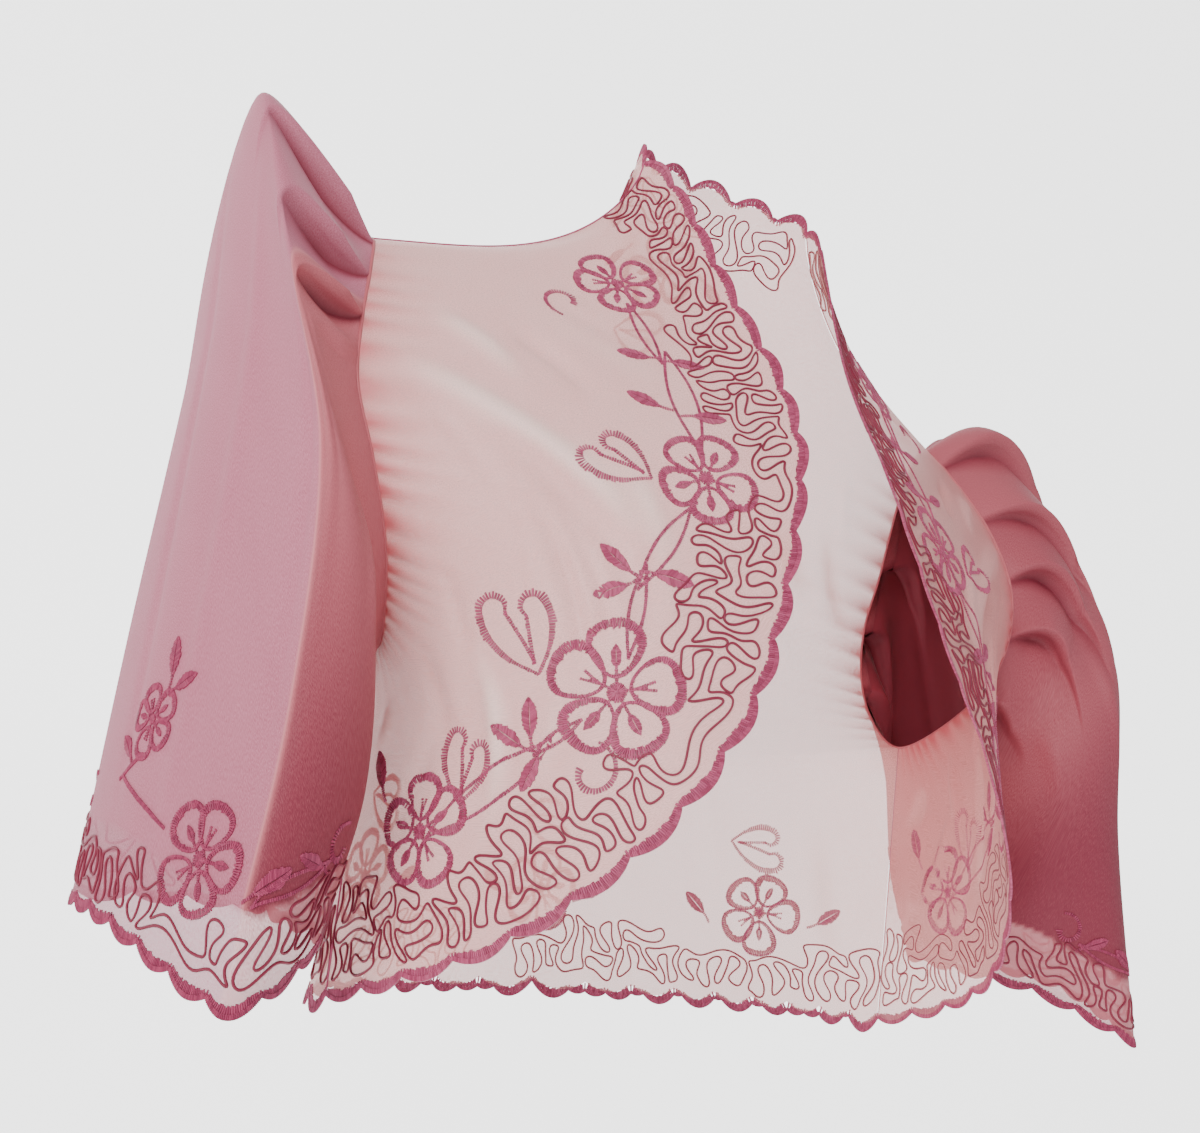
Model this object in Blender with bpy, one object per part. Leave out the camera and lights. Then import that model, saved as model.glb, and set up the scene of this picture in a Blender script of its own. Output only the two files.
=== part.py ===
"""A cropped, open-front bolero of sheer organza with pleated butterfly sleeves.

The garment stands hollow, in the form that it has when it is worn. +Z is up, the front faces -Y and
the wearer's left is +X. The origin is on the middle plane, at the height where the neck meets the
shoulders. Each panel is a grid of points worked out from its seams, and a wall is grown inwards from
it. Tables give the left half; the right half is its mirror image.
"""
import math
from typing import NamedTuple

import bpy
import numpy as np

# Cloth walls and the gaps at seams
ORGANZA_WALL = 0.0012
LINING_WALL = 0.0014
SEAM_GAP = 0.0004
ARMHOLE_GAP = 0.0006

# Scalloped edges: how deep one scallop is, how many points it has and how many there are
SCALLOP_DEPTH = 0.0045
SCALLOP_STEPS = 3
FRONT_SCALLOPS = 21
HALF_NECK_SCALLOPS = 3
HALF_HEM_SCALLOPS = 9
SLEEVE_SCALLOPS = 16

# Shoulder seam: how far it hangs below a straight line, deepest near the neck
SHOULDER_DIP = 0.027
DIP_SKEW = 0.6

# How far the panels stand out between their seams
FRONT_FULLNESS = 0.010
BLADE_FULLNESS = 0.012

# Edge of the front from the neck to the side seam, with how far down the armhole the row of cloth
# that starts there ends: x, y, z, armhole share
FRONT_EDGE = np.array((
    (0.054, -0.006, 0.056, 0.00),
    (0.050, -0.021, 0.044, 0.05),
    (0.044, -0.035, 0.022, 0.10),
    (0.039, -0.047, 0.000, 0.16),
    (0.031, -0.067, -0.035, 0.26),
    (0.025, -0.086, -0.064, 0.36),
    (0.027, -0.108, -0.102, 0.48),
    (0.036, -0.120, -0.138, 0.58),
    (0.050, -0.131, -0.181, 0.68),
    (0.070, -0.138, -0.225, 0.78),
    (0.099, -0.128, -0.271, 0.87),
    (0.131, -0.095, -0.310, 0.94),
    (0.150, -0.052, -0.331, 0.98),
    (0.157, 0.000, -0.346, 1.00),
))

# Armhole, once round from the shoulder tip down the front to the underarm and up the back: x, y, z
ARMHOLE = np.array((
    (0.186, 0.003, -0.028),
    (0.193, -0.018, -0.050),
    (0.200, -0.034, -0.078),
    (0.202, -0.044, -0.108),
    (0.193, -0.049, -0.138),
    (0.181, -0.044, -0.166),
    (0.168, -0.026, -0.190),
    (0.158, 0.000, -0.205),
    (0.167, 0.030, -0.188),
    (0.179, 0.050, -0.160),
    (0.190, 0.057, -0.128),
    (0.199, 0.052, -0.095),
    (0.197, 0.038, -0.064),
    (0.191, 0.022, -0.043),
))

# Middle of the back from the neck to the hem: y, z
BACK_LINE = np.array((
    (0.028, 0.074),
    (0.040, 0.045),
    (0.060, 0.010),
    (0.085, -0.040),
    (0.103, -0.100),
    (0.108, -0.160),
    (0.104, -0.220),
    (0.096, -0.285),
    (0.092, -0.346),
))

# Where the points of a row across the front stand, as shares of the way from edge to armhole
FRONT_COLUMNS = np.array((0.0, 0.04, 0.10, 0.20, 0.35, 0.55, 0.78, 1.0))

# Rows of the back end on the armhole at every second or third column of the sleeve, from the top
BACK_ROW_STEPS = (3, 3, 3, 3, 3, 3, 2, 2, 2)
SIDE_ROWS = 3

# Six lines run down a sleeve: its crest, front crease, front fold, underarm, back fold and back
# crease. Where round the sleeve each stands, and how sharp the fold along it is
LINE_TURNS = np.array((0.0, 0.12, 0.30, 0.50, 0.70, 0.87))
LINE_CRISPNESS = np.array((0.1, 0.3, 0.0, 0.0, 0.0, 0.3))

# Sections of a sleeve below the armhole. Each row has the share of the way to the hem, how sharply
# the cloth turns there, and where the six lines are: x, y, z
CAP_SHARE = 0.28
RIGHT_CAP = (CAP_SHARE, 0.0, (
    (0.242, 0.014, 0.023), (0.238, -0.046, -0.066), (0.206, -0.062, -0.152),
    (0.166, 0.000, -0.232), (0.202, 0.068, -0.142), (0.236, 0.056, -0.036)))
LEFT_CAP = (CAP_SHARE, 0.0, (
    (0.226, 0.004, -0.030), (0.230, -0.042, -0.090), (0.202, -0.060, -0.156),
    (0.166, 0.000, -0.232), (0.200, 0.067, -0.148), (0.228, 0.050, -0.070)))
LOWER_SECTIONS = (
    (0.50, 0.0, (
        (0.243, 0.000, -0.090), (0.224, -0.069, -0.142), (0.193, -0.070, -0.200),
        (0.170, 0.000, -0.260), (0.202, 0.067, -0.196), (0.239, 0.057, -0.110))),
    (0.75, 0.0, (
        (0.245, -0.003, -0.202), (0.220, -0.071, -0.238), (0.183, -0.063, -0.262),
        (0.175, 0.000, -0.288), (0.194, 0.058, -0.260), (0.244, 0.057, -0.210))),
    (1.00, 0.0, (
        (0.250, -0.006, -0.322), (0.229, -0.072, -0.342), (0.187, -0.050, -0.322),
        (0.181, 0.000, -0.316), (0.191, 0.045, -0.314), (0.248, 0.056, -0.317))),
)

# Pleats that gather the head of a sleeve: where they start and end down the sleeve, and how deep
PLEAT_START = 0.03
PLEAT_END = CAP_SHARE
PLEAT_DEPTH = 0.0045
COLUMNS_PER_PLEAT = 4


class Side(NamedTuple):
    """What differs between the two sides: the right sleeve stands up, the left one has sunk."""
    suffix: str
    sign: float
    shoulder_shift: tuple
    cap: tuple
    cap_rise: float
    splay: float
    pleats: int
    pleated_turn: float


RIGHT = Side("_right", -1.0, (0.0, 0.0, 0.0), RIGHT_CAP, -0.007, 0.0, 7, 0.20)
LEFT = Side("_left", 1.0, (-0.018, 0.004, -0.006), LEFT_CAP, 0.016, 0.046, 10, 0.42)
INNER_SPLAY = 0.6

# Rows of points down a sleeve and its lining, as shares of the way from armhole to hem
SLEEVE_ROWS = np.array((0.0, 0.03, 0.07, 0.12, 0.19, CAP_SHARE, 0.38, 0.50, 0.75, 1.0))
LINING_FIRST_ROW = 6
LINING_SEATED_ROW = 8
LINING_INSETS = np.array((0.0080, 0.0045, 0.0017, 0.0016))
LINING_ABOVE_HEM = 0.030
SHORTEST_LAST_ROW = 0.12

# Least share of its true thickness that a wall keeps where it turns sharply
SHARPEST_TURN = 0.55

# Colours, roughness and see-through of the finishes
FINISHES = {
    "organza": ((0.82, 0.52, 0.56, 1.0), 0.42, 0.45),
    "sleeve_organza": ((0.66, 0.33, 0.40, 1.0), 0.36, 0.85),
    "sleeve_lining": ((0.62, 0.27, 0.35, 1.0), 0.45, 1.0),
}


def clear_scene():
    """Remove whatever the scene holds."""
    for thing in list(bpy.data.objects):
        bpy.data.objects.remove(thing, do_unlink=True)


def hermite(keys, values, crispness, at):
    """Smooth curve through values at keys; crispness 1 makes a corner of a key, 0 leaves it round."""
    keys, values = np.asarray(keys, float), np.asarray(values, float)
    crispness = np.broadcast_to(crispness, keys.shape)
    slopes = np.gradient(values, keys, axis=0) * (1.0 - crispness)[:, None]
    at = np.atleast_1d(at)
    span = np.clip(np.searchsorted(keys, at, side="right") - 1, 0, len(keys) - 2)
    length = (keys[span + 1] - keys[span])[:, None]
    t = (at - keys[span])[:, None] / length
    return ((2 * t**3 - 3 * t**2 + 1) * values[span] + (t**3 - 2 * t**2 + t) * length * slopes[span]
            + (3 * t**2 - 2 * t**3) * values[span + 1] + (t**3 - t**2) * length * slopes[span + 1])


def smooth_line(rows, at):
    """Point of a line through evenly numbered rows, at shares from 0 to 1."""
    return hermite(np.linspace(0.0, 1.0, len(rows)), rows, 0.0, at)


def even_line(rows, count):
    """A line through rows, cut into count equal lengths measured on its first three columns."""
    shares = np.linspace(0.0, 1.0, 40 * len(rows))
    fine = smooth_line(rows, shares)
    run = np.concatenate(([0.0], np.cumsum(np.linalg.norm(np.diff(fine[:, :3], axis=0), axis=1))))
    return smooth_line(rows, np.interp(np.linspace(0.0, run[-1], count + 1), run, shares))


def closed_line(turns, rows, crispness, at):
    """Smooth closed curve through rows at turns, for turns between 0 and 1."""
    turns, rows = np.asarray(turns), np.asarray(rows)
    crispness = np.broadcast_to(crispness, turns.shape)
    keys = np.concatenate((turns[-2:] - 1.0, turns, turns[:2] + 1.0))
    around = np.concatenate((rows[-2:], rows, rows[:2]))
    folds = np.concatenate((crispness[-2:], crispness, crispness[:2]))
    return hermite(keys, around, folds, np.mod(at, 1.0))


def topmost(turn):
    """How near a turn is to the top: 1 at the shoulder tip and 0 at the underarm."""
    return (1.0 + np.cos(2.0 * np.pi * np.asarray(turn))) / 2.0


def armhole(turn, side):
    """Point of the armhole, for a turn from 0 at the shoulder tip through 0.5 at the underarm."""
    count = len(ARMHOLE)
    line = closed_line(np.arange(count) / count, ARMHOLE, 0.0, turn)
    return line + topmost(turn)[:, None] * np.array(side.shoulder_shift)


def scallop(step):
    """How far out the edge stands at a step along a row of scallops."""
    return SCALLOP_DEPTH * np.sin(np.pi * (np.asarray(step) % SCALLOP_STEPS) / SCALLOP_STEPS)


def patch(near, far, first, last, across, down):
    """Grid of cloth between four seams, rows going down and columns going from near to far."""
    across, down = across[None, :, None], down[:, None, None]

    def bend(line):
        ends = (1.0 - across) * line[0] + across * line[-1]
        return line[None] - ends

    level = (1.0 - across) * near[:, None] + across * far[:, None]
    return level + (1.0 - down)**3 * bend(first) + down**3 * bend(last)


def shoulder_seam(side):
    """Shoulder seam from the neck to the shoulder tip, one point for each column of the front."""
    neck, tip = FRONT_EDGE[0, :3], armhole(np.zeros(1), side)[0]
    seam = neck + FRONT_COLUMNS[:, None] * (tip - neck)
    seam[:, 2] -= SHOULDER_DIP * np.sin(np.pi * FRONT_COLUMNS**DIP_SKEW)
    return seam


def front_grid(side):
    """Points of a front: a row for each step of its scalloped edge."""
    steps = FRONT_SCALLOPS * SCALLOP_STEPS
    edge = even_line(FRONT_EDGE, steps)
    near, far = edge[:, :3], armhole(edge[:, 3] / 2.0, side)
    down = np.linspace(0.0, 1.0, steps + 1)
    side_seam = near[-1] + FRONT_COLUMNS[:, None] * (far[-1] - near[-1])
    grid = patch(near, far, shoulder_seam(side), side_seam, FRONT_COLUMNS, down)
    fullness = np.sin(np.pi * down)[:, None] * np.sin(np.pi * FRONT_COLUMNS)[None]
    grid[..., 1] -= FRONT_FULLNESS * fullness
    outwards = unit(grid[:, 0] - grid[:, 1])
    grid[:, 0] += outwards * scallop(np.arange(steps + 1))[:, None]
    return grid


def back_turns(side):
    """Turns of the armhole where the rows of the back end, from the shoulder tip to the underarm."""
    turns = np.append(sleeve_turns(side, 0.0), 1.0)
    return turns[len(turns) - 1 - np.cumsum((0,) + BACK_ROW_STEPS)]


def half_back_grid(side):
    """Points of half of the back: rows go down, columns from the middle to the armhole."""
    neck_steps, hem_steps = (n * SCALLOP_STEPS for n in (HALF_NECK_SCALLOPS, HALF_HEM_SCALLOPS))
    collar, tip = BACK_LINE[0], FRONT_EDGE[0, :3]
    angle = np.linspace(0.0, np.pi / 2.0, neck_steps + 1)[:-1, None]
    neck = np.hstack((tip[0] * np.sin(angle), tip[1] + (collar[0] - tip[1]) * np.cos(angle),
                      tip[2] + (collar[1] - tip[2]) * np.cos(angle)))
    seam = shoulder_seam(side)
    run = np.concatenate(([0.0], np.cumsum(np.linalg.norm(np.diff(seam, axis=0), axis=1))))
    shares = np.linspace(0.0, run[-1], hem_steps - neck_steps + 1)
    shoulder = np.stack([np.interp(shares, run, seam[:, k]) for k in range(3)], axis=1)
    top = np.vstack((neck, shoulder))

    corner = FRONT_EDGE[-1, :3]
    angle = np.linspace(0.0, np.pi / 2.0, hem_steps + 1)[:, None]
    hem = np.hstack((corner[0] * np.sin(angle)**0.9, BACK_LINE[-1, 0] * np.cos(angle)**0.9,
                     np.full_like(angle, corner[2])))
    arm = armhole(back_turns(side), side)
    side_seam = np.linspace(arm[-1], corner, SIDE_ROWS + 1)[1:]
    far = np.vstack((arm, side_seam))
    near = np.insert(even_line(BACK_LINE, len(far) - 1), 0, 0.0, axis=1)
    across = np.linspace(0.0, 1.0, hem_steps + 1)
    down = np.linspace(0.0, 1.0, len(far))
    grid = patch(near, far, top, hem, across, down)
    grid[..., 1] += BLADE_FULLNESS * np.sin(np.pi * down)[:, None] * np.sin(np.pi * across)[None]
    collar_edge = slice(0, neck_steps)
    upwards = unit(grid[0, collar_edge] - grid[1, collar_edge])
    grid[0, collar_edge] += upwards * scallop(np.arange(neck_steps))[:, None]
    grid[-1, :, 2] -= scallop(np.arange(hem_steps + 1))
    return grid


def back_grid():
    """Points of the whole back, from the right armhole to the left one."""
    left = half_back_grid(LEFT)
    right = mirrored(half_back_grid(RIGHT), RIGHT)[:, :0:-1]
    grid = np.concatenate((right, left), axis=1)
    grid[..., 1] += SEAM_GAP
    return grid


def sleeve_turns(side, share):
    """Where round the sleeve each column stands, at a share of the way down it."""
    count = SLEEVE_SCALLOPS * SCALLOP_STEPS
    half, gathered = count // 2, side.pleats * COLUMNS_PER_PLEAT // 2
    head = np.concatenate((np.linspace(0.0, side.pleated_turn, gathered + 1),
                           np.linspace(side.pleated_turn, 0.5, half - gathered + 1)[1:]))
    head = np.concatenate((head, 1.0 - head[-2:0:-1]))
    hem = closed_line(LINE_TURNS, LOWER_SECTIONS[-1][2], LINE_CRISPNESS, np.linspace(0.0, 1.0, 481))
    run = np.concatenate(([0.0], np.cumsum(np.linalg.norm(np.diff(hem, axis=0), axis=1))))
    even = np.interp(np.arange(count) / count * run[-1], run, np.linspace(0.0, 1.0, 481))
    return head + (even - head) * np.clip((share - CAP_SHARE) / (1.0 - CAP_SHARE), 0.0, 1.0)


def seam_point(turn, side):
    """Point where the sleeve is sewn in: on the back it follows the straight stretches there."""
    smooth = armhole(turn, side)
    knots = back_turns(side)[::-1]
    back = armhole(knots, side)
    straight = np.stack([np.interp(turn, knots, back[:, k]) for k in range(3)], axis=1)
    return np.where((turn > 0.5)[:, None], straight, smooth)


def sleeve_ring(side, share):
    """One closed ring of a sleeve, before pleats and scallops."""
    sections = (side.cap,) + LOWER_SECTIONS
    keys = np.array([0.0] + [section[0] for section in sections])
    turning = np.array([0.0] + [section[1] for section in sections])
    lines = np.array([armhole(LINE_TURNS, side)] + [section[2] for section in sections])
    count = len(LINE_TURNS)
    here = hermite(keys, lines.reshape(len(keys), -1), turning, share).reshape(count, 3)
    spread = INNER_SPLAY + (1.0 - INNER_SPLAY) * topmost(LINE_TURNS)
    here[:, 0] += side.splay * share * spread
    turns = sleeve_turns(side, share)
    ring = closed_line(LINE_TURNS, here, LINE_CRISPNESS, turns)
    up_the_cap = np.clip(share / CAP_SHARE, 0.0, 1.0)
    ring[:, 2] += side.cap_rise * np.sin(np.pi * up_the_cap) * topmost(turns)
    start = closed_line(LINE_TURNS, lines[0], LINE_CRISPNESS, turns)
    return ring + (1.0 - up_the_cap)**2 * (seam_point(turns, side) - start)


def sleeve_grid(side):
    """Points of a sleeve from the armhole to its scalloped hem, and the middle of each ring."""
    grid = np.array([sleeve_ring(side, share) for share in SLEEVE_ROWS])
    middles = grid.mean(axis=1, keepdims=True)
    outwards = growth(grid, middles, closed=True)
    columns = np.arange(grid.shape[1])
    from_top = (columns + len(columns) // 2) % len(columns) - len(columns) // 2
    wave = -np.cos(2.0 * np.pi * from_top / COLUMNS_PER_PLEAT)
    gathered = np.abs(from_top) < side.pleats * COLUMNS_PER_PLEAT / 2
    reach = (SLEEVE_ROWS - PLEAT_START) / (PLEAT_END - PLEAT_START)
    swell = np.clip(reach, 0.0, 1.0)**0.35 * np.clip(1.0 - reach, 0.0, 1.0) / 0.6
    grid += PLEAT_DEPTH * unit(outwards) * (swell[:, None] * (wave * gathered)[None])[..., None]
    grid[0, :, 0] += ARMHOLE_GAP
    drop = grid[-1] - grid[-2]
    length = np.linalg.norm(drop, axis=1)[:, None]
    lining_end = grid[-2] + drop * np.maximum(1.0 - LINING_ABOVE_HEM / length, SHORTEST_LAST_ROW)
    grid[-1] += unit(drop) * scallop(columns)[:, None]
    grid = np.insert(grid, -1, lining_end, axis=0)
    return grid, grid.mean(axis=1, keepdims=True)


def level_outwards(grid, middles):
    """Level directions from the middle of each ring to its points."""
    return unit((grid - middles) * (1.0, 1.0, 0.0))


def lining_grid(grid, middles):
    """Points of a sleeve's lining: rows of the sleeve, moved in, down to a line above its hem."""
    outwards = growth(grid, middles, closed=True)
    outwards[:LINING_SEATED_ROW] = level_outwards(grid, middles)[:LINING_SEATED_ROW]
    rows = slice(LINING_FIRST_ROW, -1)
    return grid[rows] - outwards[rows] * LINING_INSETS[:, None, None]


def unit(vectors):
    """The same directions, each one long."""
    return vectors / np.linalg.norm(vectors, axis=-1, keepdims=True)


def grid_faces(rows, columns, closed):
    """Triangles of a grid of cloth, as numbers of its points."""
    faces = []
    for i in range(rows - 1):
        for j in range(columns if closed else columns - 1):
            a, b = i * columns + j, i * columns + (j + 1) % columns
            c, d = b + columns, a + columns
            faces.extend(((a, b, c), (a, c, d)))
    return np.array(faces)


def growth(grid, hollow, closed):
    """How each point moves for one metre of cloth to grow outwards: longer where the cloth turns."""
    rows, columns = grid.shape[:2]
    faces = grid_faces(rows, columns, closed)
    points = grid.reshape(-1, 3)
    corners = points[faces]
    facing = unit(np.cross(corners[:, 1] - corners[:, 0], corners[:, 2] - corners[:, 0]))
    total, angles = np.zeros_like(points), np.zeros(len(points))
    for k in range(3):
        one = unit(corners[:, (k + 1) % 3] - corners[:, k])
        other = unit(corners[:, (k + 2) % 3] - corners[:, k])
        angle = np.arccos(np.clip(np.sum(one * other, axis=1), -1.0, 1.0))
        np.add.at(total, faces[:, k], facing * angle[:, None])
        np.add.at(angles, faces[:, k], angle)
    flatness = np.linalg.norm(total, axis=1) / angles
    moves = (unit(total) / np.clip(flatness, SHARPEST_TURN, 1.0)[:, None]).reshape(grid.shape)
    return moves if np.sum(moves * (grid - hollow)) > 0.0 else -moves


def torso_hollow(grid):
    """Middle of the torso at the height of each point."""
    hollow = np.zeros_like(grid)
    hollow[..., 2] = grid[..., 2] - 0.03
    return hollow


def finish(name):
    """The material of a finish."""
    colour, roughness, alpha = FINISHES[name]
    material = bpy.data.materials.get(name) or bpy.data.materials.new(name)
    material.use_nodes = True
    shader = material.node_tree.nodes["Principled BSDF"]
    shader.inputs["Base Color"].default_value = colour
    shader.inputs["Roughness"].default_value = roughness
    shader.inputs["Metallic"].default_value = 0.0
    shader.inputs["Alpha"].default_value = alpha
    return material


def wall(name, grid, normals, thickness, closed, material):
    """A closed wall of cloth whose outer face is the grid, grown inwards by its thickness."""
    rows, columns = grid.shape[:2]
    size = rows * columns
    points = np.vstack((grid.reshape(-1, 3), (grid - normals * thickness).reshape(-1, 3)))
    outer = grid_faces(rows, columns, closed)
    faces = outer.tolist() + (outer[:, ::-1] + size).tolist()
    across = range(columns if closed else columns - 1)
    top = [(j, (j + 1) % columns) for j in across]
    bottom = [(size - columns + b, size - columns + a) for a, b in top]
    rims = [top, bottom]
    if not closed:
        rims.append([(i * columns + columns, i * columns) for i in range(rows - 1)])
        rims.append([(i * columns - 1, i * columns + columns - 1) for i in range(1, rows)])
    for a, b in (pair for rim in rims for pair in rim):
        faces.extend(((b, a, size + a), (b, size + a, size + b)))
    if signed_volume(points, faces) < 0.0:
        faces = [face[::-1] for face in faces]
    mesh = bpy.data.meshes.new(name)
    mesh.from_pydata(points.tolist(), [], faces)
    mesh.shade_smooth()
    mesh.set_sharp_from_angle(angle=math.radians(40.0))
    mesh.materials.append(finish(material))
    piece = bpy.data.objects.new(name, mesh)
    bpy.context.scene.collection.objects.link(piece)
    return piece


def signed_volume(points, faces):
    """Volume inside a closed mesh, negative where its faces point in."""
    corners = points[np.array(faces)]
    return np.sum(corners[:, 0] * np.cross(corners[:, 1], corners[:, 2])) / 6.0


def mirrored(grid, side):
    """The grid where its side has it: the right is the left's mirror image."""
    return grid * np.array((side.sign, 1.0, 1.0))


def seam_plane(normals):
    """The same directions turned into the upright plane of a seam."""
    flat = normals.copy()
    flat[..., 1] = 0.0
    return unit(flat)


def build_front(side):
    """One front panel."""
    grid = mirrored(front_grid(side), side)
    normals = growth(grid, torso_hollow(grid), closed=False)
    normals[0], normals[-1] = seam_plane(normals[0]), seam_plane(normals[-1])
    wall("front_panel" + side.suffix, grid, normals, ORGANZA_WALL, False, "organza")


def build_back():
    """The back panel."""
    grid = back_grid()
    normals = growth(grid, torso_hollow(grid), closed=False)
    shoulder = HALF_NECK_SCALLOPS * SCALLOP_STEPS
    middle = grid.shape[1] // 2
    for columns in (slice(0, middle - shoulder + 1), slice(middle + shoulder, None)):
        normals[0, columns] = seam_plane(normals[0, columns])
    for column in (0, -1):
        normals[-SIDE_ROWS - 1:, column] = seam_plane(normals[-SIDE_ROWS - 1:, column])
    wall("back_panel", grid, normals, ORGANZA_WALL, False, "organza")


def build_sleeve(side):
    """One sleeve and the lining that stiffens it."""
    grid, middles = sleeve_grid(side)
    inner = lining_grid(grid, middles)
    grid, middles, inner = (mirrored(points, side) for points in (grid, middles, inner))
    normals = growth(grid, middles, closed=True)
    wall("sleeve" + side.suffix, grid, normals, ORGANZA_WALL, True, "sleeve_organza")
    normals = level_outwards(inner, inner.mean(axis=1, keepdims=True))
    wall("sleeve_lining" + side.suffix, inner, normals, LINING_WALL, True, "sleeve_lining")


def main():
    """Build every piece of the bolero."""
    clear_scene()
    build_back()
    for side in (RIGHT, LEFT):
        build_front(side)
        build_sleeve(side)


main()
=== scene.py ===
"""A cropped, open-front bolero of sheer embroidered organza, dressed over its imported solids.

The fronts, back, sleeves and linings are fine sheets on the form of the solids. Thread is laid on them as
real stitches: a satin edge round every scallop, a meandering line beside it, and flowers, leaves, hearts
and stems further in. Units are metres, +Z is up, the front faces -Y and the garment's own left is +X.
"""
from __future__ import annotations

import logging
import math
import random
from dataclasses import dataclass, field
from enum import Enum
from typing import Callable, NamedTuple, Optional, Sequence

import bpy
import numpy as np
from bpy.types import ID, Material, Mesh, Node, NodeSocket, NodeTree, Object
from mathutils import Matrix, Vector
from mathutils.bvhtree import BVHTree


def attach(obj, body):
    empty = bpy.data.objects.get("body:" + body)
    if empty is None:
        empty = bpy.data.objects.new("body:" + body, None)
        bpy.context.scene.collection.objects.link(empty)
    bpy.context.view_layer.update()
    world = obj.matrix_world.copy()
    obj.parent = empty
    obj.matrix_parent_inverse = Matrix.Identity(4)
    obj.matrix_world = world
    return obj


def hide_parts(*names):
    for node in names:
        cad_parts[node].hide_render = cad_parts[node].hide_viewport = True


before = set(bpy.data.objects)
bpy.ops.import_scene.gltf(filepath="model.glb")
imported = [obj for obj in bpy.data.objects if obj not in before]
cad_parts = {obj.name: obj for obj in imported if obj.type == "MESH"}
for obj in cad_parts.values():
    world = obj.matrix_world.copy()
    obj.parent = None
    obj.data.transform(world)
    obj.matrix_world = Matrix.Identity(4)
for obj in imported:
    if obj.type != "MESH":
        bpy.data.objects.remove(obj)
log = logging.getLogger("bolero")

# Short names of types
Array = np.ndarray
Pair = tuple[float, float]
Triple = tuple[float, float, float]

# Scalloped edges
SCALLOP_DEPTH = 0.0045
SCALLOP_ROUNDNESS = 0.8
FRONT_SCALLOPS = 21
HALF_NECK_SCALLOPS = 3
HALF_HEM_SCALLOPS = 9
SLEEVE_SCALLOPS = 16

# Shoulder seam and fullness, as in the solids
SHOULDER_DIP = 0.027
DIP_SKEW = 0.6
FRONT_FULLNESS = 0.010
BLADE_FULLNESS = 0.012
SEAM_GAP = 0.0004
ARMHOLE_GAP = 0.0006

# Edge of the front from the neck to the side seam: x, y, z, armhole share
FRONT_EDGE = np.array((
    (0.054, -0.006, 0.056, 0.00), (0.050, -0.021, 0.044, 0.05), (0.044, -0.035, 0.022, 0.10),
    (0.039, -0.047, 0.000, 0.16), (0.031, -0.067, -0.035, 0.26), (0.025, -0.086, -0.064, 0.36),
    (0.027, -0.108, -0.102, 0.48), (0.036, -0.120, -0.138, 0.58), (0.050, -0.131, -0.181, 0.68),
    (0.070, -0.138, -0.225, 0.78), (0.099, -0.128, -0.271, 0.87), (0.131, -0.095, -0.310, 0.94),
    (0.150, -0.052, -0.331, 0.98), (0.157, 0.000, -0.346, 1.00),
))

# Armhole, once round from the shoulder tip down the front to the underarm and up the back: x, y, z
ARMHOLE = np.array((
    (0.186, 0.003, -0.028), (0.193, -0.018, -0.050), (0.200, -0.034, -0.078), (0.202, -0.044, -0.108),
    (0.193, -0.049, -0.138), (0.181, -0.044, -0.166), (0.168, -0.026, -0.190), (0.158, 0.000, -0.205),
    (0.167, 0.030, -0.188), (0.179, 0.050, -0.160), (0.190, 0.057, -0.128), (0.199, 0.052, -0.095),
    (0.197, 0.038, -0.064), (0.191, 0.022, -0.043),
))

# Middle of the back from the neck to the hem: y, z
BACK_LINE = np.array((
    (0.028, 0.074), (0.040, 0.045), (0.060, 0.010), (0.085, -0.040), (0.103, -0.100),
    (0.108, -0.160), (0.104, -0.220), (0.096, -0.285), (0.092, -0.346),
))
BACK_ROW_STEPS = (3, 3, 3, 3, 3, 3, 2, 2, 2)
SIDE_ROWS = 3

# Share of a sleeve's splay at its underarm, and its columns as in the solids
INNER_SPLAY = 0.6
COARSE_COLUMNS = 48
COLUMNS_PER_PLEAT = 4

# Seeds of the uneven stitches and of their tints, for the right side
FRONT_SEED, FRONT_TINTS = 31, 41
SLEEVE_SEED, SLEEVE_TINTS = 61, 71
BACK_SEED, BACK_TINTS = 91, 101
TINTS_APART = 10


class Section(NamedTuple):
    """One ring of a sleeve: its share of the way down, and a point on each of the six lines."""
    share: float
    points: tuple[Triple, ...]


# Six lines down a sleeve (crest, front crease, front fold, underarm, back fold, back crease): the turn
# where each stands and how crisp it is, then the rings below the armhole
LINE_TURNS = np.array((0.0, 0.12, 0.30, 0.50, 0.70, 0.87))
LINE_CRISPNESS = np.array((0.1, 0.3, 0.0, 0.0, 0.0, 0.3))
CAP_SHARE = 0.28
RIGHT_CAP = Section(CAP_SHARE, (
    (0.242, 0.014, 0.023), (0.238, -0.046, -0.066), (0.206, -0.062, -0.152),
    (0.166, 0.000, -0.232), (0.202, 0.068, -0.142), (0.236, 0.056, -0.036)))
LEFT_CAP = Section(CAP_SHARE, (
    (0.226, 0.004, -0.030), (0.230, -0.042, -0.090), (0.202, -0.060, -0.156),
    (0.166, 0.000, -0.232), (0.200, 0.067, -0.148), (0.228, 0.050, -0.070)))
LOWER_SECTIONS = (
    Section(0.50, (
        (0.243, 0.000, -0.090), (0.224, -0.069, -0.142), (0.193, -0.070, -0.200),
        (0.170, 0.000, -0.260), (0.202, 0.067, -0.196), (0.239, 0.057, -0.110))),
    Section(0.75, (
        (0.245, -0.003, -0.202), (0.220, -0.071, -0.238), (0.183, -0.063, -0.262),
        (0.175, 0.000, -0.288), (0.194, 0.058, -0.260), (0.244, 0.057, -0.210))),
    Section(1.00, (
        (0.250, -0.006, -0.322), (0.229, -0.072, -0.342), (0.187, -0.050, -0.322),
        (0.181, 0.000, -0.316), (0.191, 0.045, -0.314), (0.248, 0.056, -0.317))),
)


class FaceShading(NamedTuple):
    """Painted shade and reflected light on a sleeve: how far its colour turns salmon in front and behind, and
    how much deeper it is painted from its head down.
    """
    front: float
    back: float
    head: float
    rise: float
    start: float
    end: float


# Painted shade and reflected light on each sleeve; the far sleeve lies in shade all round its front
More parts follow.
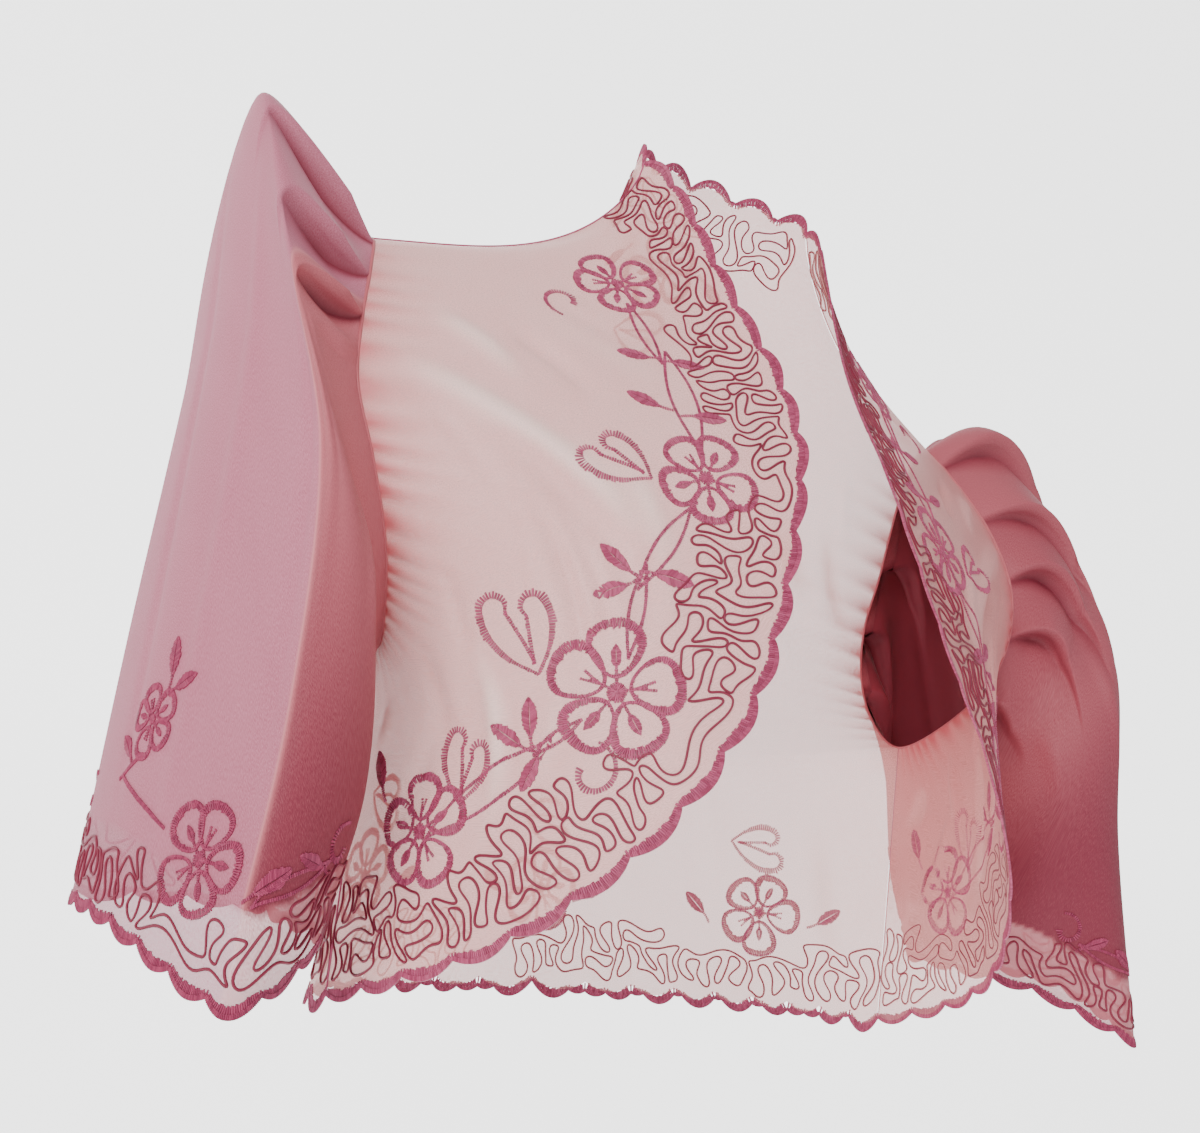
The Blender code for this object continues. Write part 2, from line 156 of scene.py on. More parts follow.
RIGHT_FACE_SHADING = FaceShading(front=0.0, back=0.50, head=0.42, rise=0.56, start=0.30, end=0.95)
LEFT_FACE_SHADING = FaceShading(front=0.85, back=0.375, head=0.70, rise=0.30, start=0.40, end=0.80)


class Side(NamedTuple):
    """What differs between the two sides: the right sleeve stands up, the left one has sunk."""
    suffix: str
    sign: float
    number: int
    shoulder_shift: Triple
    cap: Section
    cap_rise: float
    splay: float
    pleats: int
    pleated_turn: float
    pleat_depth: float
    pleat_end: float
    pleat_seed: int
    front_shade: float
    face_shading: FaceShading


RIGHT = Side(suffix="_right", sign=-1.0, number=0, shoulder_shift=(0.0, 0.0, 0.0), cap=RIGHT_CAP,
             cap_rise=-0.007, splay=0.0, pleats=7, pleated_turn=0.20, pleat_depth=0.0125, pleat_end=0.36,
             pleat_seed=5, front_shade=0.0, face_shading=RIGHT_FACE_SHADING)
LEFT = Side(suffix="_left", sign=1.0, number=1, shoulder_shift=(-0.018, 0.004, -0.006), cap=LEFT_CAP,
            cap_rise=0.016, splay=0.046, pleats=10, pleated_turn=0.42, pleat_depth=0.0170, pleat_end=0.55,
            pleat_seed=9, front_shade=1.0, face_shading=LEFT_FACE_SHADING)


class Slot(Enum):
    """The record's slots for finishes."""
    BODY = "organza"
    SLEEVE = "sleeve_organza"
    LINING = "sleeve_lining"


class Held(Enum):
    """How a cloth is held up."""
    HUNG = "hung"
    GATHERED = "gathered"


class Crease(NamedTuple):
    """A soft crease on a grid: where it starts and ends, in shares down and across, and its size."""
    start_row: float
    start_column: float
    end_row: float
    end_column: float
    half_width: float
    height: float


# Long soft creases down a sleeve, across in turns
LONG_CREASES = (
    Crease(0.30, 0.06, 0.95, 0.05, 0.012, 0.0012), Crease(0.34, 0.16, 0.90, 0.17, 0.010, -0.0014),
    Crease(0.30, 0.24, 0.75, 0.20, 0.012, 0.0016), Crease(0.35, 0.94, 0.95, 0.95, 0.012, -0.0012),
    Crease(0.30, 0.78, 0.85, 0.80, 0.012, 0.0016), Crease(0.32, 0.66, 0.70, 0.70, 0.012, -0.0014),
    Crease(0.30, 0.36, 0.60, 0.33, 0.014, 0.0018),
)

# A cell of the meander's band: its number along the edge and inwards
Cell = tuple[int, int]


class MotifKind(Enum):
    """What a motif of the embroidery is."""
    FLOWER = "flower"
    LEAF = "leaf"
    HEART = "heart"
    CURL = "curl"


class Motif(NamedTuple):
    """One motif: where its middle stands beside the edge, its size across and how far it is turned."""
    kind: MotifKind
    along: float
    inwards: float
    size: float
    turn: float


class Stem(NamedTuple):
    """A stem of two lines between two places beside the edge, and how far the lines bow apart."""
    start: Pair
    end: Pair
    bow: float


def motifs(kind: MotifKind, *rows: tuple[float, ...]) -> tuple[Motif, ...]:
    """Return motifs of one kind, each from its along, inwards, size and turn."""
    return tuple(Motif(kind, *row) for row in rows)


FRONT_MOTIFS = (
    *motifs(MotifKind.FLOWER, (0.0625, 0.0557, 0.044, 0.3), (0.2074, 0.0439, 0.047, 0.9),
            (0.3390, 0.0453, 0.057, 0.1), (0.4770, 0.0510, 0.048, 0.5)),
    *motifs(MotifKind.HEART, (0.2030, 0.0820, 0.029, 1.85), (0.3310, 0.0900, 0.035, 2.10),
            (0.4310, 0.0660, 0.027, 2.20)),
    *motifs(MotifKind.CURL, (0.0780, 0.0860, 0.017, 0.4), (0.3793, 0.0330, 0.018, 2.6)),
    *motifs(MotifKind.LEAF, (0.1230, 0.0630, 0.018, 1.85), (0.1290, 0.0430, 0.018, -1.25),
            (0.1590, 0.0680, 0.018, 2.00), (0.1680, 0.0430, 0.018, -1.60), (0.2660, 0.0680, 0.019, 1.90),
            (0.2830, 0.0650, 0.017, 0.80), (0.2690, 0.0475, 0.019, -1.70), (0.3810, 0.0640, 0.018, 2.20),
            (0.3960, 0.0640, 0.017, 1.20), (0.3990, 0.0490, 0.017, -0.50), (0.5080, 0.0800, 0.019, 1.50)),
)
FRONT_STEMS = (
    Stem((0.085, 0.055), (0.125, 0.0527), 0.003), Stem((0.125, 0.0527), (0.186, 0.0495), 0.006),
    Stem((0.230, 0.0480), (0.2733, 0.0579), 0.004), Stem((0.2733, 0.0579), (0.312, 0.0500), 0.003),
    Stem((0.366, 0.0500), (0.3886, 0.0541), 0.002), Stem((0.3886, 0.0541), (0.459, 0.0520), 0.006),
)
SLEEVE_MOTIFS = (
    *motifs(MotifKind.FLOWER, (0.0450, 0.0380, 0.045, 0.2), (0.0000, 0.0740, 0.031, 0.8)),
    *motifs(MotifKind.LEAF, (0.0070, 0.0980, 0.018, 1.9), (0.0150, 0.0920, 0.016, 0.7),
            (0.0780, 0.0400, 0.019, 0.4), (-0.0160, 0.0600, 0.015, 2.6)),
    *motifs(MotifKind.CURL, (0.1180, 0.0400, 0.014, 1.0)),
    *motifs(MotifKind.LEAF, (0.1010, 0.0400, 0.016, 2.4)),
)
SLEEVE_STEMS = (Stem((-0.003, 0.060), (-0.018, 0.048), 0.0002), Stem((-0.018, 0.048), (0.024, 0.040), 0.0002),
                Stem((0.069, 0.038), (0.110, 0.036), 0.003))
SLEEVE_REPEATS = 2
BACK_FLOWER_SPACING = 0.125


@dataclass(frozen=True)
class Finish:
    """A finish: the two colours that it shifts between, its roughness and its sheen."""
    name: str
    colour: Triple
    second: Triple
    roughness: float
    sheen: float


ORGANZA = Finish("sheer_organza", (0.78, 0.30, 0.28), (0.92, 0.50, 0.46), 0.38, 0.05)
SHOT_SATIN = Finish("sleeve_satin", (0.40, 0.095, 0.145), (0.62, 0.225, 0.31), 0.50, 0.02)
LINING = Finish("lining_cloth", (0.34, 0.06, 0.085), (0.26, 0.04, 0.06), 0.50, 0.05)
ROSE_THREAD = Finish("rose_thread", (0.52, 0.10, 0.20), (0.32, 0.042, 0.10), 0.36, 0.05)
DEEP_THREAD = Finish("deep_rose_thread", (0.42, 0.062, 0.135), (0.26, 0.030, 0.078), 0.36, 0.05)
SEAM_ROLL = Finish("seam_roll", (0.50, 0.12, 0.14), (0.42, 0.09, 0.11), 0.45, 0.1)
DARK_THREAD = Finish("dark_thread", (0.23, 0.022, 0.05), (0.15, 0.012, 0.03), 0.42, 0.03)


# Painted light and shade on the cloth, with an alpha of 1
# Painted highlight on the creases of the body
CREASE_HIGHLIGHT = (1.0, 0.74, 0.68, 1.0)
# Deeper rose in puckers: partly denser gathered cloth, partly painted shade
PUCKER_AND_SHADE_DEEP = (0.62, 0.13, 0.15, 1.0)
# Painted shade and reflected light on a sleeve's front face, from rose to deep lower down
FACE_SHADE_ROSE = (0.56, 0.148, 0.174, 1.0)
FACE_SHADE_DEEP = (0.20, 0.020, 0.042, 1.0)
# Painted glint along a sleeve's ridge
RIDGE_GLINT = (0.72, 0.28, 0.29, 1.0)
# Painted shade in a sleeve's folds
FOLD_SHADE = (0.19, 0.017, 0.034, 1.0)


def hermite(keys: Array, values: Array, crispness: Array | float,
            at: Array | float) -> Array:
    """Read a smooth curve through values at keys.

    Args:
        keys: Rising numbers, one for each value.
        values: Rows of numbers.
        crispness: 1 makes a corner of a key, 0 leaves it round.
        at: Where to read the curve.

    Returns:
        A row of numbers for each place read.
    """
    keys, values = np.asarray(keys, float), np.asarray(values, float)
    crispness = np.broadcast_to(crispness, keys.shape)
    slopes = np.gradient(values, keys, axis=0) * (1.0 - crispness)[:, None]
    at = np.atleast_1d(at)
    span = np.clip(np.searchsorted(keys, at, side="right") - 1, 0, len(keys) - 2)
    length = (keys[span + 1] - keys[span])[:, None]
    t = (at - keys[span])[:, None] / length
    return ((2 * t**3 - 3 * t**2 + 1) * values[span] + (t**3 - 2 * t**2 + t) * length * slopes[span]
            + (3 * t**2 - 2 * t**3) * values[span + 1] + (t**3 - t**2) * length * slopes[span + 1])


def evenly(count: int) -> Array:
    """Return evenly spaced shares from 0 to 1."""
    return np.linspace(0.0, 1.0, count)


def lengths_along(points: Array) -> Array:
    """Return the length from the first point to each point of a line, along its first axis."""
    steps = np.linalg.norm(np.diff(points, axis=0), axis=-1)
    return np.concatenate((np.zeros((1,) + steps.shape[1:]), np.cumsum(steps, axis=0)))


def even_line(rows: Array, count: int) -> Array:
    """Cut a smooth line through rows into equal lengths.

    Args:
        rows: Points, with further columns after x, y and z carried along.
        count: How many lengths.

    Returns:
        The points between the lengths, the ends included.
    """
    keys = evenly(len(rows))
    shares = evenly(40 * len(rows))
    run = lengths_along(hermite(keys, rows, 0.0, shares)[:, :3])
    return hermite(keys, rows, 0.0, np.interp(np.linspace(0.0, run[-1], count + 1), run, shares))


def closed_line(turns: Array, rows: Array, crispness: Array | float,
                at: Array) -> Array:
    """Read a smooth closed curve.

    Args:
        turns: Where each row stands, from 0 up to less than 1.
        rows: Rows of numbers.
        crispness: 1 makes a corner of a row, 0 leaves it round.
        at: Turns at which to read the curve.

    Returns:
        A row of numbers for each place read.
    """
    turns, rows = np.asarray(turns), np.asarray(rows)
    crispness = np.broadcast_to(crispness, turns.shape)
    keys = np.concatenate((turns[-2:] - 1.0, turns, turns[:2] + 1.0))
    around = np.concatenate((rows[-2:], rows, rows[:2]))
    folds = np.concatenate((crispness[-2:], crispness, crispness[:2]))
    return hermite(keys, around, folds, np.mod(at, 1.0))


def topmost(turn: Array) -> Array:
    """Return how near a turn is to the top: 1 at the shoulder tip and 0 at the underarm."""
    return (1.0 + np.cos(2.0 * np.pi * np.asarray(turn))) / 2.0


def unit(vectors: Array) -> Array:
    """Return the same directions, each one long."""
    return vectors / np.maximum(np.linalg.norm(vectors, axis=-1, keepdims=True), 1e-12)


def smooth_step(low: float, high: float, value: Array) -> Array:
    """Rise smoothly from 0 at low to 1 at high."""
    t = np.clip((value - low) / (high - low), 0.0, 1.0)
    return t * t * (3.0 - 2.0 * t)


def armhole(turn: Array, side: Side) -> Array:
    """Read the armhole.

    Args:
        turn: Turns from 0 at the shoulder tip, down the front and up the back.
        side: Which side of the garment.

    Returns:
        A point for each turn, on the left until it is mirrored.
    """
    count = len(ARMHOLE)
    line = closed_line(np.arange(count) / count, ARMHOLE, 0.0, turn)
    return line + topmost(turn)[:, None] * np.array(side.shoulder_shift)


def scallop(count: Array) -> Array:
    """Return how far out the edge stands, for places counted in scallops."""
    return SCALLOP_DEPTH * np.abs(np.sin(np.pi * np.asarray(count))) ** SCALLOP_ROUNDNESS


def patch(near: Array, far: Array, first: Array, last: Array,
          across: Array, down: Array) -> Array:
    """Fill the cloth between four seams.

    Args:
        near: First point of each row.
        far: Last point of each row.
        first: Points of the first row.
        last: Points of the last row.
        across: Shares of the way from near to far.
        down: Shares of the way from first to last.

    Returns:
        The grid of points.
    """
    across, down = across[None, :, None], down[:, None, None]

    def bend(line: Array) -> Array:
        """Return how far a row stands off its straight line."""
        return line[None] - ((1.0 - across) * line[0] + across * line[-1])

    level = (1.0 - across) * near[:, None] + across * far[:, None]
    return level + (1.0 - down) ** 3 * bend(first) + down ** 3 * bend(last)


def shoulder_seam(side: Side, across: Array) -> Array:
    """Read the shoulder seam.

    Args:
        side: Which side of the garment.
        across: Shares of the way from the neck to the shoulder tip.

    Returns:
        A point for each share.
    """
    neck, tip = FRONT_EDGE[0, :3], armhole(np.zeros(1), side)[0]
    seam = neck + across[:, None] * (tip - neck)
    seam[:, 2] -= SHOULDER_DIP * np.sin(np.pi * across ** DIP_SKEW)
    return seam


def creases(rows: Array, columns: Array, table: Sequence[Crease]) -> Array:
    """Add up soft, uneven creases over a grid.

    Args:
        rows: Share of the way down, for each row.
        columns: Share of the way across, for each column.
        table: The creases.

    Returns:
        How far each point stands out.
    """
    r, c = np.meshgrid(rows, columns, indexing="ij")
    out = np.zeros_like(r)
    for crease in table:
        run = np.array((crease.end_row - crease.start_row, crease.end_column - crease.start_column))
        length = float(run @ run)
        below, beside = r - crease.start_row, c - crease.start_column
        t = (below * run[0] + beside * run[1]) / length
        off = (below * run[1] - beside * run[0]) / math.sqrt(length)
        off = off + 0.25 * crease.half_width * np.sin(5.0 * t + 9.0 * crease.start_row)
        ends = smooth_step(-0.15, 0.35, t) * (1.0 - smooth_step(0.6, 1.15, t))
        out += crease.height * ends * np.exp(-(off / crease.half_width) ** 2)
    return out


def scattered_creases(seed: int, count: int, lean: float, height: float) -> list[Crease]:
    """Make a table of small slanting creases spread over a panel.

    Args:
        seed: Seed of the places.
        count: How many.
        lean: How far a crease runs across for each share that it runs down.
        height: Largest height, in metres.

    Returns:
        The creases.
    """
    draw = random.Random(seed)
    table = []
    for _ in range(count):
        r, c = draw.uniform(0.02, 0.9), draw.uniform(0.15, 0.92)
        run = draw.uniform(0.08, 0.20)
        across = run * lean * draw.uniform(0.5, 1.5)
        half_width = draw.uniform(0.008, 0.022)
        rise = draw.choice((-1.0, 1.0)) * draw.uniform(0.3, 1.0) * height
        table.append(Crease(r, c, r + run, c + across, half_width, rise))
    return table


def relaxed(line: Array, passes: int) -> Array:
    """Smooth a closed line by drawing each point towards its neighbours.

    Args:
        line: Points of the line.
        passes: How many times.

    Returns:
        The smoother line.
    """
    for _ in range(passes):
        line = 0.5 * line + 0.25 * (np.roll(line, 1, axis=0) + np.roll(line, -1, axis=0))
    return line


def placed(name: str, data: ID) -> Object:
    """Put new data into the scene.

    Args:
        name: Name of its object.
        data: A mesh, a light or a camera.

    Returns:
        The object.
    """
    made = bpy.data.objects.new(name, data)
    bpy.context.scene.collection.objects.link(made)
    return made


class Border:
    """A strip of cloth beside an edge, read by metres along the edge and metres inwards from it."""

    def __init__(self, points: Array, normals: Array, scallops: int, closed: bool = False) -> None:
        """Keep the strip.

        Args:
            points: Grid of points, first axis along the edge, second inwards.
            normals: Outward direction at each point.
            scallops: How many scallops the edge has.
            closed: Whether the edge runs all round.
        """
        if closed:
            points = np.concatenate((points, points[:1]), axis=0)
            normals = np.concatenate((normals, normals[:1]), axis=0)
        self.points, self.normals = points, normals
        self.scallops, self.closed = scallops, closed
        self.run = lengths_along(points[:, 0])
        self.depth = lengths_along(points.transpose(1, 0, 2)).T
        self.length = float(self.run[-1])

    def locate(self, along: Array, inwards: Array) -> tuple[Array, Array]:
        """Find places on the strip.

        Args:
            along: Metres along the edge.
            inwards: Metres in from it; below 0 is past the edge.

        Returns:
            Points and their outward directions.
        """
        along = np.mod(along, self.length) if self.closed else np.clip(along, 0.0, self.length)
        place = np.interp(along, self.run, np.arange(len(self.run)))
        first = np.minimum(place.astype(int), len(self.run) - 2)
        share = (place - first)[:, None]
        depth = (1.0 - share) * self.depth[first] + share * self.depth[first + 1]
        columns = np.arange(depth.shape[1])
        column = np.array([np.interp(d, row, columns) for d, row in zip(inwards, depth)])
        low = np.minimum(column.astype(int), depth.shape[1] - 2)
        part = (column - low)[:, None]

        def read(grid: Array) -> Array:
            """Read a grid between its points.

            Args:
                grid: Rows of numbers for each point.

            Returns:
                A row for each place.
            """
            near = (1.0 - share) * grid[first, low] + share * grid[first + 1, low]
            far = (1.0 - share) * grid[first, low + 1] + share * grid[first + 1, low + 1]
            return (1.0 - part) * near + part * far

        points, normals = read(self.points), unit(read(self.normals))
        outside = np.minimum(inwards, 0.0)[:, None]
        edge = (1.0 - share) * (self.points[first, 1] - self.points[first, 0])
        edge = unit(edge + share * (self.points[first + 1, 1] - self.points[first + 1, 0]))
        return points + edge * outside, normals

    def scallop_at(self, along: Array) -> Array:
        """Return how far out the scalloped edge stands at metres along the edge."""
        return scallop(along / self.length * self.scallops)

    def rim(self, along: Array, inwards: float = 0.0) -> tuple[Array, Array]:
        """Return points a way in from the scalloped edge, and their outward directions."""
        return self.locate(along, inwards - self.scallop_at(along))


class Threads:
    """Stitches and thin cords gathered on one panel until they are made into pieces."""

    def __init__(self) -> None:
        """Start with none."""
        self.starts: list[Array] = []
        self.ends: list[Array] = []
        self.lifts: list[Array] = []

    def add(self, starts: Array, ends: Array, lifts: Array) -> None:
        """Add stitches.

        Args:
            starts: Where each begins.
            ends: Where each ends.
            lifts: Which way the cloth under each faces.
        """
        self.starts.append(starts)
        self.ends.append(ends)
        self.lifts.append(lifts)


class Panel:
    """A sheet of cloth on a grid of points."""

    def __init__(self, name: str, grid: Array, hollow: Array, closed: bool = False) -> None:
        """Keep the grid and work out which way it faces.

        Args:
            name: Name of the piece, which is also its solid's.
            grid: Points, rows then columns.
            hollow: Points on the hollow side, one for each or for all.
            closed: Whether the columns run all round.
        """
        self.name, self.grid, self.closed = name, grid, closed
        self.normals = self._facing(hollow)
        self.attributes: dict[str, Array] = {}
        self.piece: Optional[Object] = None
        self.tree: Optional[BVHTree] = None

    def _facing(self, hollow: Array) -> Array:
        """Find which way the sheet faces.

        Args:
            hollow: Points on the hollow side, one for each or for all.

        Returns:
            The outward direction at each point.
        """
        grid = self.grid
        if self.closed:
            across = np.roll(grid, -1, axis=1) - np.roll(grid, 1, axis=1)
        else:
            across = np.gradient(grid, axis=1)
        normals = unit(np.cross(across, np.gradient(grid, axis=0)))
        return normals if np.sum(normals * (grid - hollow)) > 0.0 else -normals

    def displace(self, out: Array, hollow: Array) -> None:
        """Move the points outwards by out, and find their directions again."""
        self.grid = self.grid + self.normals * out[..., None]
        self.normals = self._facing(hollow)

    def faces(self) -> Array:
        """Join the points.

        Returns:
            The quads of the sheet, facing outwards.
        """
        rows, columns = self.grid.shape[:2]
        i, j = np.meshgrid(np.arange(rows - 1), np.arange(columns if self.closed else columns - 1),
                           indexing="ij")
        a, b = i * columns + j, i * columns + (j + 1) % columns
        quads = np.stack((a, b, b + columns, a + columns), axis=-1).reshape(-1, 4)
        points = self.grid.reshape(-1, 3)
        middle = quads[len(quads) // 2]
        facing = np.cross(points[middle[1]] - points[middle[0]], points[middle[2]] - points[middle[0]])
        outwards = self.normals.reshape(-1, 3)[middle[0]]
        return quads if facing @ outwards > 0.0 else quads[:, ::-1]

    def build(self, material: Material, slot: Slot) -> Object:
        """Make the sheet.

        Args:
            material: Its finish.
            slot: The record's slot for it; not used.

        Returns:
            The piece.
        """
        points, quads = self.grid.reshape(-1, 3), self.faces()
        self.tree = BVHTree.FromPolygons(points.tolist(), quads.tolist())
        mesh = bpy.data.meshes.new(self.name)
        mesh.from_pydata(points.tolist(), [], quads.tolist())
        for key, values in self.attributes.items():
            layer = mesh.attributes.new(key, "FLOAT", "POINT")
            layer.data.foreach_set("value", values.astype(np.float32).ravel())
        self._lay_out(mesh)
        mesh.shade_smooth()
        mesh.materials.append(material)
        self.piece = placed(self.name + "_cloth", mesh)
        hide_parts(self.name)
        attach(self.piece, "root")
        return self.piece

    def _lay_out(self, mesh: Mesh) -> None:
        """Give the sheet its flat layout in metres, cut open opposite its first column if it is a tube.

        Args:
            mesh: The sheet's mesh.
        """
        rows, columns = self.grid.shape[:2]
        width = lengths_along(self.grid.transpose(1, 0, 2)).T
        height = lengths_along(self.grid)
        half, around = columns // 2, np.zeros(rows)
        if self.closed:
            around = width[:, -1] + np.linalg.norm(self.grid[:, 0] - self.grid[:, -1], axis=1)
            width[:, half + 1:] -= around[:, None]
        flat = np.stack((width, height), axis=-1).reshape(-1, 2)
        corners = np.zeros(len(mesh.loops), dtype=int)
        mesh.loops.foreach_get("vertex_index", corners)
        laid = flat[corners]
        if self.closed:
            column = (corners % columns).reshape(-1, 4)
            joins = np.any(column == half, axis=1) & np.any(column == half + 1, axis=1)
            lap = (joins[:, None] & (column == half + 1)).ravel()
            laid[lap, 0] += around[corners[lap] // columns]
        layer = mesh.uv_layers.new(name="weave")
        layer.data.foreach_set("uv", laid.astype(np.float32).ravel())

    def declare(self, flat: Pair, held: Held, made: Sequence[Object]) -> None:
        """Args:
            flat: Its width and length before it was worn; not used.
            held: How it is held up; not used.
            made: The thread that lies on it; not used.
        """

    def drop(self, points: Array) -> tuple[Array, Array]:
        """Drop points onto the sheet, and return them with the way it faces there."""
        found = [self.tree.find_nearest(Vector(p)) for p in points]
        return (np.array([tuple(hit[0]) for hit in found]), np.array([tuple(hit[1]) for hit in found]))


@dataclass
class MotifDrawer:
    """Works out the stitches of flowers, leaves, hearts, curls and stems in flat sizes."""
    seed: int
    petals: int = 5
    comb_pitch: float = 0.0010
    fine_pitch: float = 0.00075
    stalk_pitch: float = 0.0008
    leaf_pitch: float = 0.00062
    line_points: int = 60
    draw: random.Random = field(init=False)
    solid: list[Array] = field(init=False, default_factory=list)

    def __post_init__(self) -> None:
        """Start the draw of uneven stitch lengths."""
        self.draw = random.Random(self.seed)

    def motif(self, kind: MotifKind, size: float) -> Array:
        """Draw one motif.

        Args:
            kind: What it is.
            size: Across it.

        Returns:
            Its stitches as pairs of flat points.
        """
        {MotifKind.FLOWER: self.flower, MotifKind.LEAF: self.leaf,
         MotifKind.HEART: self.heart, MotifKind.CURL: self.curl}[kind](size)
        return self.take()

    def _resample(self, line: Array, pitch: float) -> tuple[Array, Array]:
        """Place points evenly along a line.

        Args:
            line: Points of the line.
            pitch: Distance between the new points.

        Returns:
            The new points, and the way across the line at each.
        """
        run = lengths_along(line)
        count = max(int(run[-1] / pitch), 2)
        at = np.linspace(0.0, run[-1], count)
        points = np.stack([np.interp(at, run, line[:, k]) for k in range(2)], axis=1)
        tangent = unit(np.gradient(points, axis=0))
        return points, np.stack((-tangent[:, 1], tangent[:, 0]), axis=1)

    def satin_line(self, line: Array, width: Array | float, pitch: float = 0.0009,
                   ragged: float = 0.2, inner: float = 0.5) -> None:
        """Lay stitches across a line.

        Args:
            line: Points of the line.
            width: Length of a stitch, for each point or for all.
            pitch: Distance between stitches.
            ragged: Share by which stitch lengths differ.
            inner: Share of a stitch that lies on the left of the line.
        """
        points, across = self._resample(line, pitch)
        places = evenly(len(points))
        width = np.interp(places, evenly(len(line)), np.broadcast_to(width, len(line)))
        uneven = np.array([1.0 + ragged * self.draw.uniform(-1.0, 1.0) for _ in points])
        reach = across * (width * uneven)[:, None]
        self.solid.append(np.stack((points + reach * inner, points - reach * (1.0 - inner)), axis=1))

    def satin_fill(self, start: Array, end: Array, width: float, slant: float = 0.5) -> None:
        """Fill a pointed leaf with slanting stitches on both sides of its rib.

        Args:
            start: Where the rib begins.
            end: Where the rib ends.
            width: Across the leaf.
            slant: How far a stitch leans along the rib for each metre that it runs across.
        """
        axis = end - start
        length = float(np.linalg.norm(axis))
        along, across = axis / length, np.array((-axis[1], axis[0])) / length
        shares = np.linspace(0.03, 0.97, max(int(length / self.leaf_pitch), 4))
        half = 0.5 * width * np.sin(np.pi * shares ** 0.8) ** 0.75
        half = half * np.array([self.draw.uniform(0.85, 1.1) for _ in shares])
        middle = start + axis * shares[:, None]
        for side in (-1.0, 1.0):
            reach = (side * across + along * slant) * half[:, None]
            self.solid.append(np.stack((middle + reach * 0.08, middle + reach), axis=1))

    def flower(self, size: float) -> None:
        """Draw a flower of broad petals edged with a comb of stitches.

        Args:
            size: Across the flower.
        """
        radius = size / 2.0
        turns = np.linspace(0.0, 2.0 * np.pi, 70)
        for k in range(self.petals):
            angle = 2.0 * np.pi * k / self.petals + 0.12 * math.sin(2.3 * k)
            grown = 1.0 + 0.06 * math.sin(1.7 * k + size * 90.0)
            away = np.array((math.cos(angle), math.sin(angle)))
            across = np.array((-away[1], away[0]))
            long = radius * grown * (0.57 + 0.38 * np.cos(turns))
            wide = radius * 0.37 * np.sin(turns) * (1.0 + 0.30 * np.cos(turns))
            outline = long[:, None] * away + wide[:, None] * across
            teeth = 0.0011 + 0.105 * radius * (0.5 + 0.5 * np.cos(turns - 0.5)) ** 0.7
            self.satin_line(outline, teeth, self.comb_pitch, inner=0.75)
            self.satin_line(outline, 0.0008, self.fine_pitch, 0.1)
            if k % 2 == 0:
                self.satin_fill(away * radius * 0.34, away * radius * 0.66, 0.15 * radius, 0.2)
            stalk = np.stack((away * radius * 0.10, away * radius * 0.40))
            self.satin_line(stalk, 0.0012, self.stalk_pitch)
            if k % 2 == 1:
                for side in (-1.0, 1.0):
                    fork = away * radius * 0.52 + across * side * radius * 0.06
                    self.satin_line(np.stack((away * radius * 0.25, fork)), 0.0010, self.stalk_pitch)
        for ring in (0.04, 0.09):
            outline = ring * radius * np.stack((np.cos(turns), np.sin(turns)), axis=1)
            self.satin_line(outline, 0.10 * radius, 0.0007)

    def leaf(self, size: float) -> None:
        """Draw a pointed leaf with a bent stalk.

        Args:
            size: From the stalk to the tip.
        """
        self.satin_fill(np.array((-0.30 * size, 0.0)), np.array((0.55 * size, 0.0)), 0.36 * size)
        back, bent = np.linspace(-0.60, -0.26, 8), np.linspace(1, 0, 8) ** 2
        self.satin_line(np.stack((back * size, 0.06 * size * bent), axis=1), 0.0013, self.stalk_pitch)

    def heart(self, size: float) -> None:
        """Draw a heart whose two lobes curl in, the second one smaller.

        Args:
            size: From the point to the top of the larger lobe.
        """
        outer = np.array(((0.0, 0.0), (0.28, 0.25), (0.62, 0.40), (0.92, 0.37), (1.0, 0.22),
                          (0.90, 0.10), (0.76, 0.13)))
        inner = np.array(((0.76, 0.13), (0.62, 0.10), (0.38, 0.05), (0.14, 0.01)))
        teeth = np.array((0.0012, 0.0014, 0.0022, 0.0032, 0.0032, 0.0026, 0.0012))
        shares, keys = evenly(self.line_points), evenly(len(outer))
        for side, grown in ((-1.0, 1.0), (1.0, 0.84)):
            curve = hermite(keys, outer, 0.0, shares) * grown * size
            back = hermite(evenly(len(inner)), inner, 0.0, shares) * grown * size
            for line, width in ((curve, np.interp(shares, keys, teeth)), (back, 0.0015)):
                line = line * (1.0, side) - (0.5 * size, 0.0)
                self.satin_line(line, width, self.comb_pitch, inner=0.5 + 0.3 * side)

    def curl(self, size: float) -> None:
        """Draw one curled tendril.

        Args:
            size: Across the curl.
        """
        t = evenly(self.line_points)
        angle, reach = 4.6 * t, size * (0.62 - 0.44 * t)
        line = np.stack((reach * np.cos(angle), reach * np.sin(angle)), axis=1)
        self.satin_line(line, 0.0012 + 0.0016 * t, self.comb_pitch, inner=0.2)

    def take(self) -> Array:
        """Return the stitches drawn so far as pairs of flat points, and start again."""
        taken, self.solid = np.concatenate(self.solid), []
        return taken


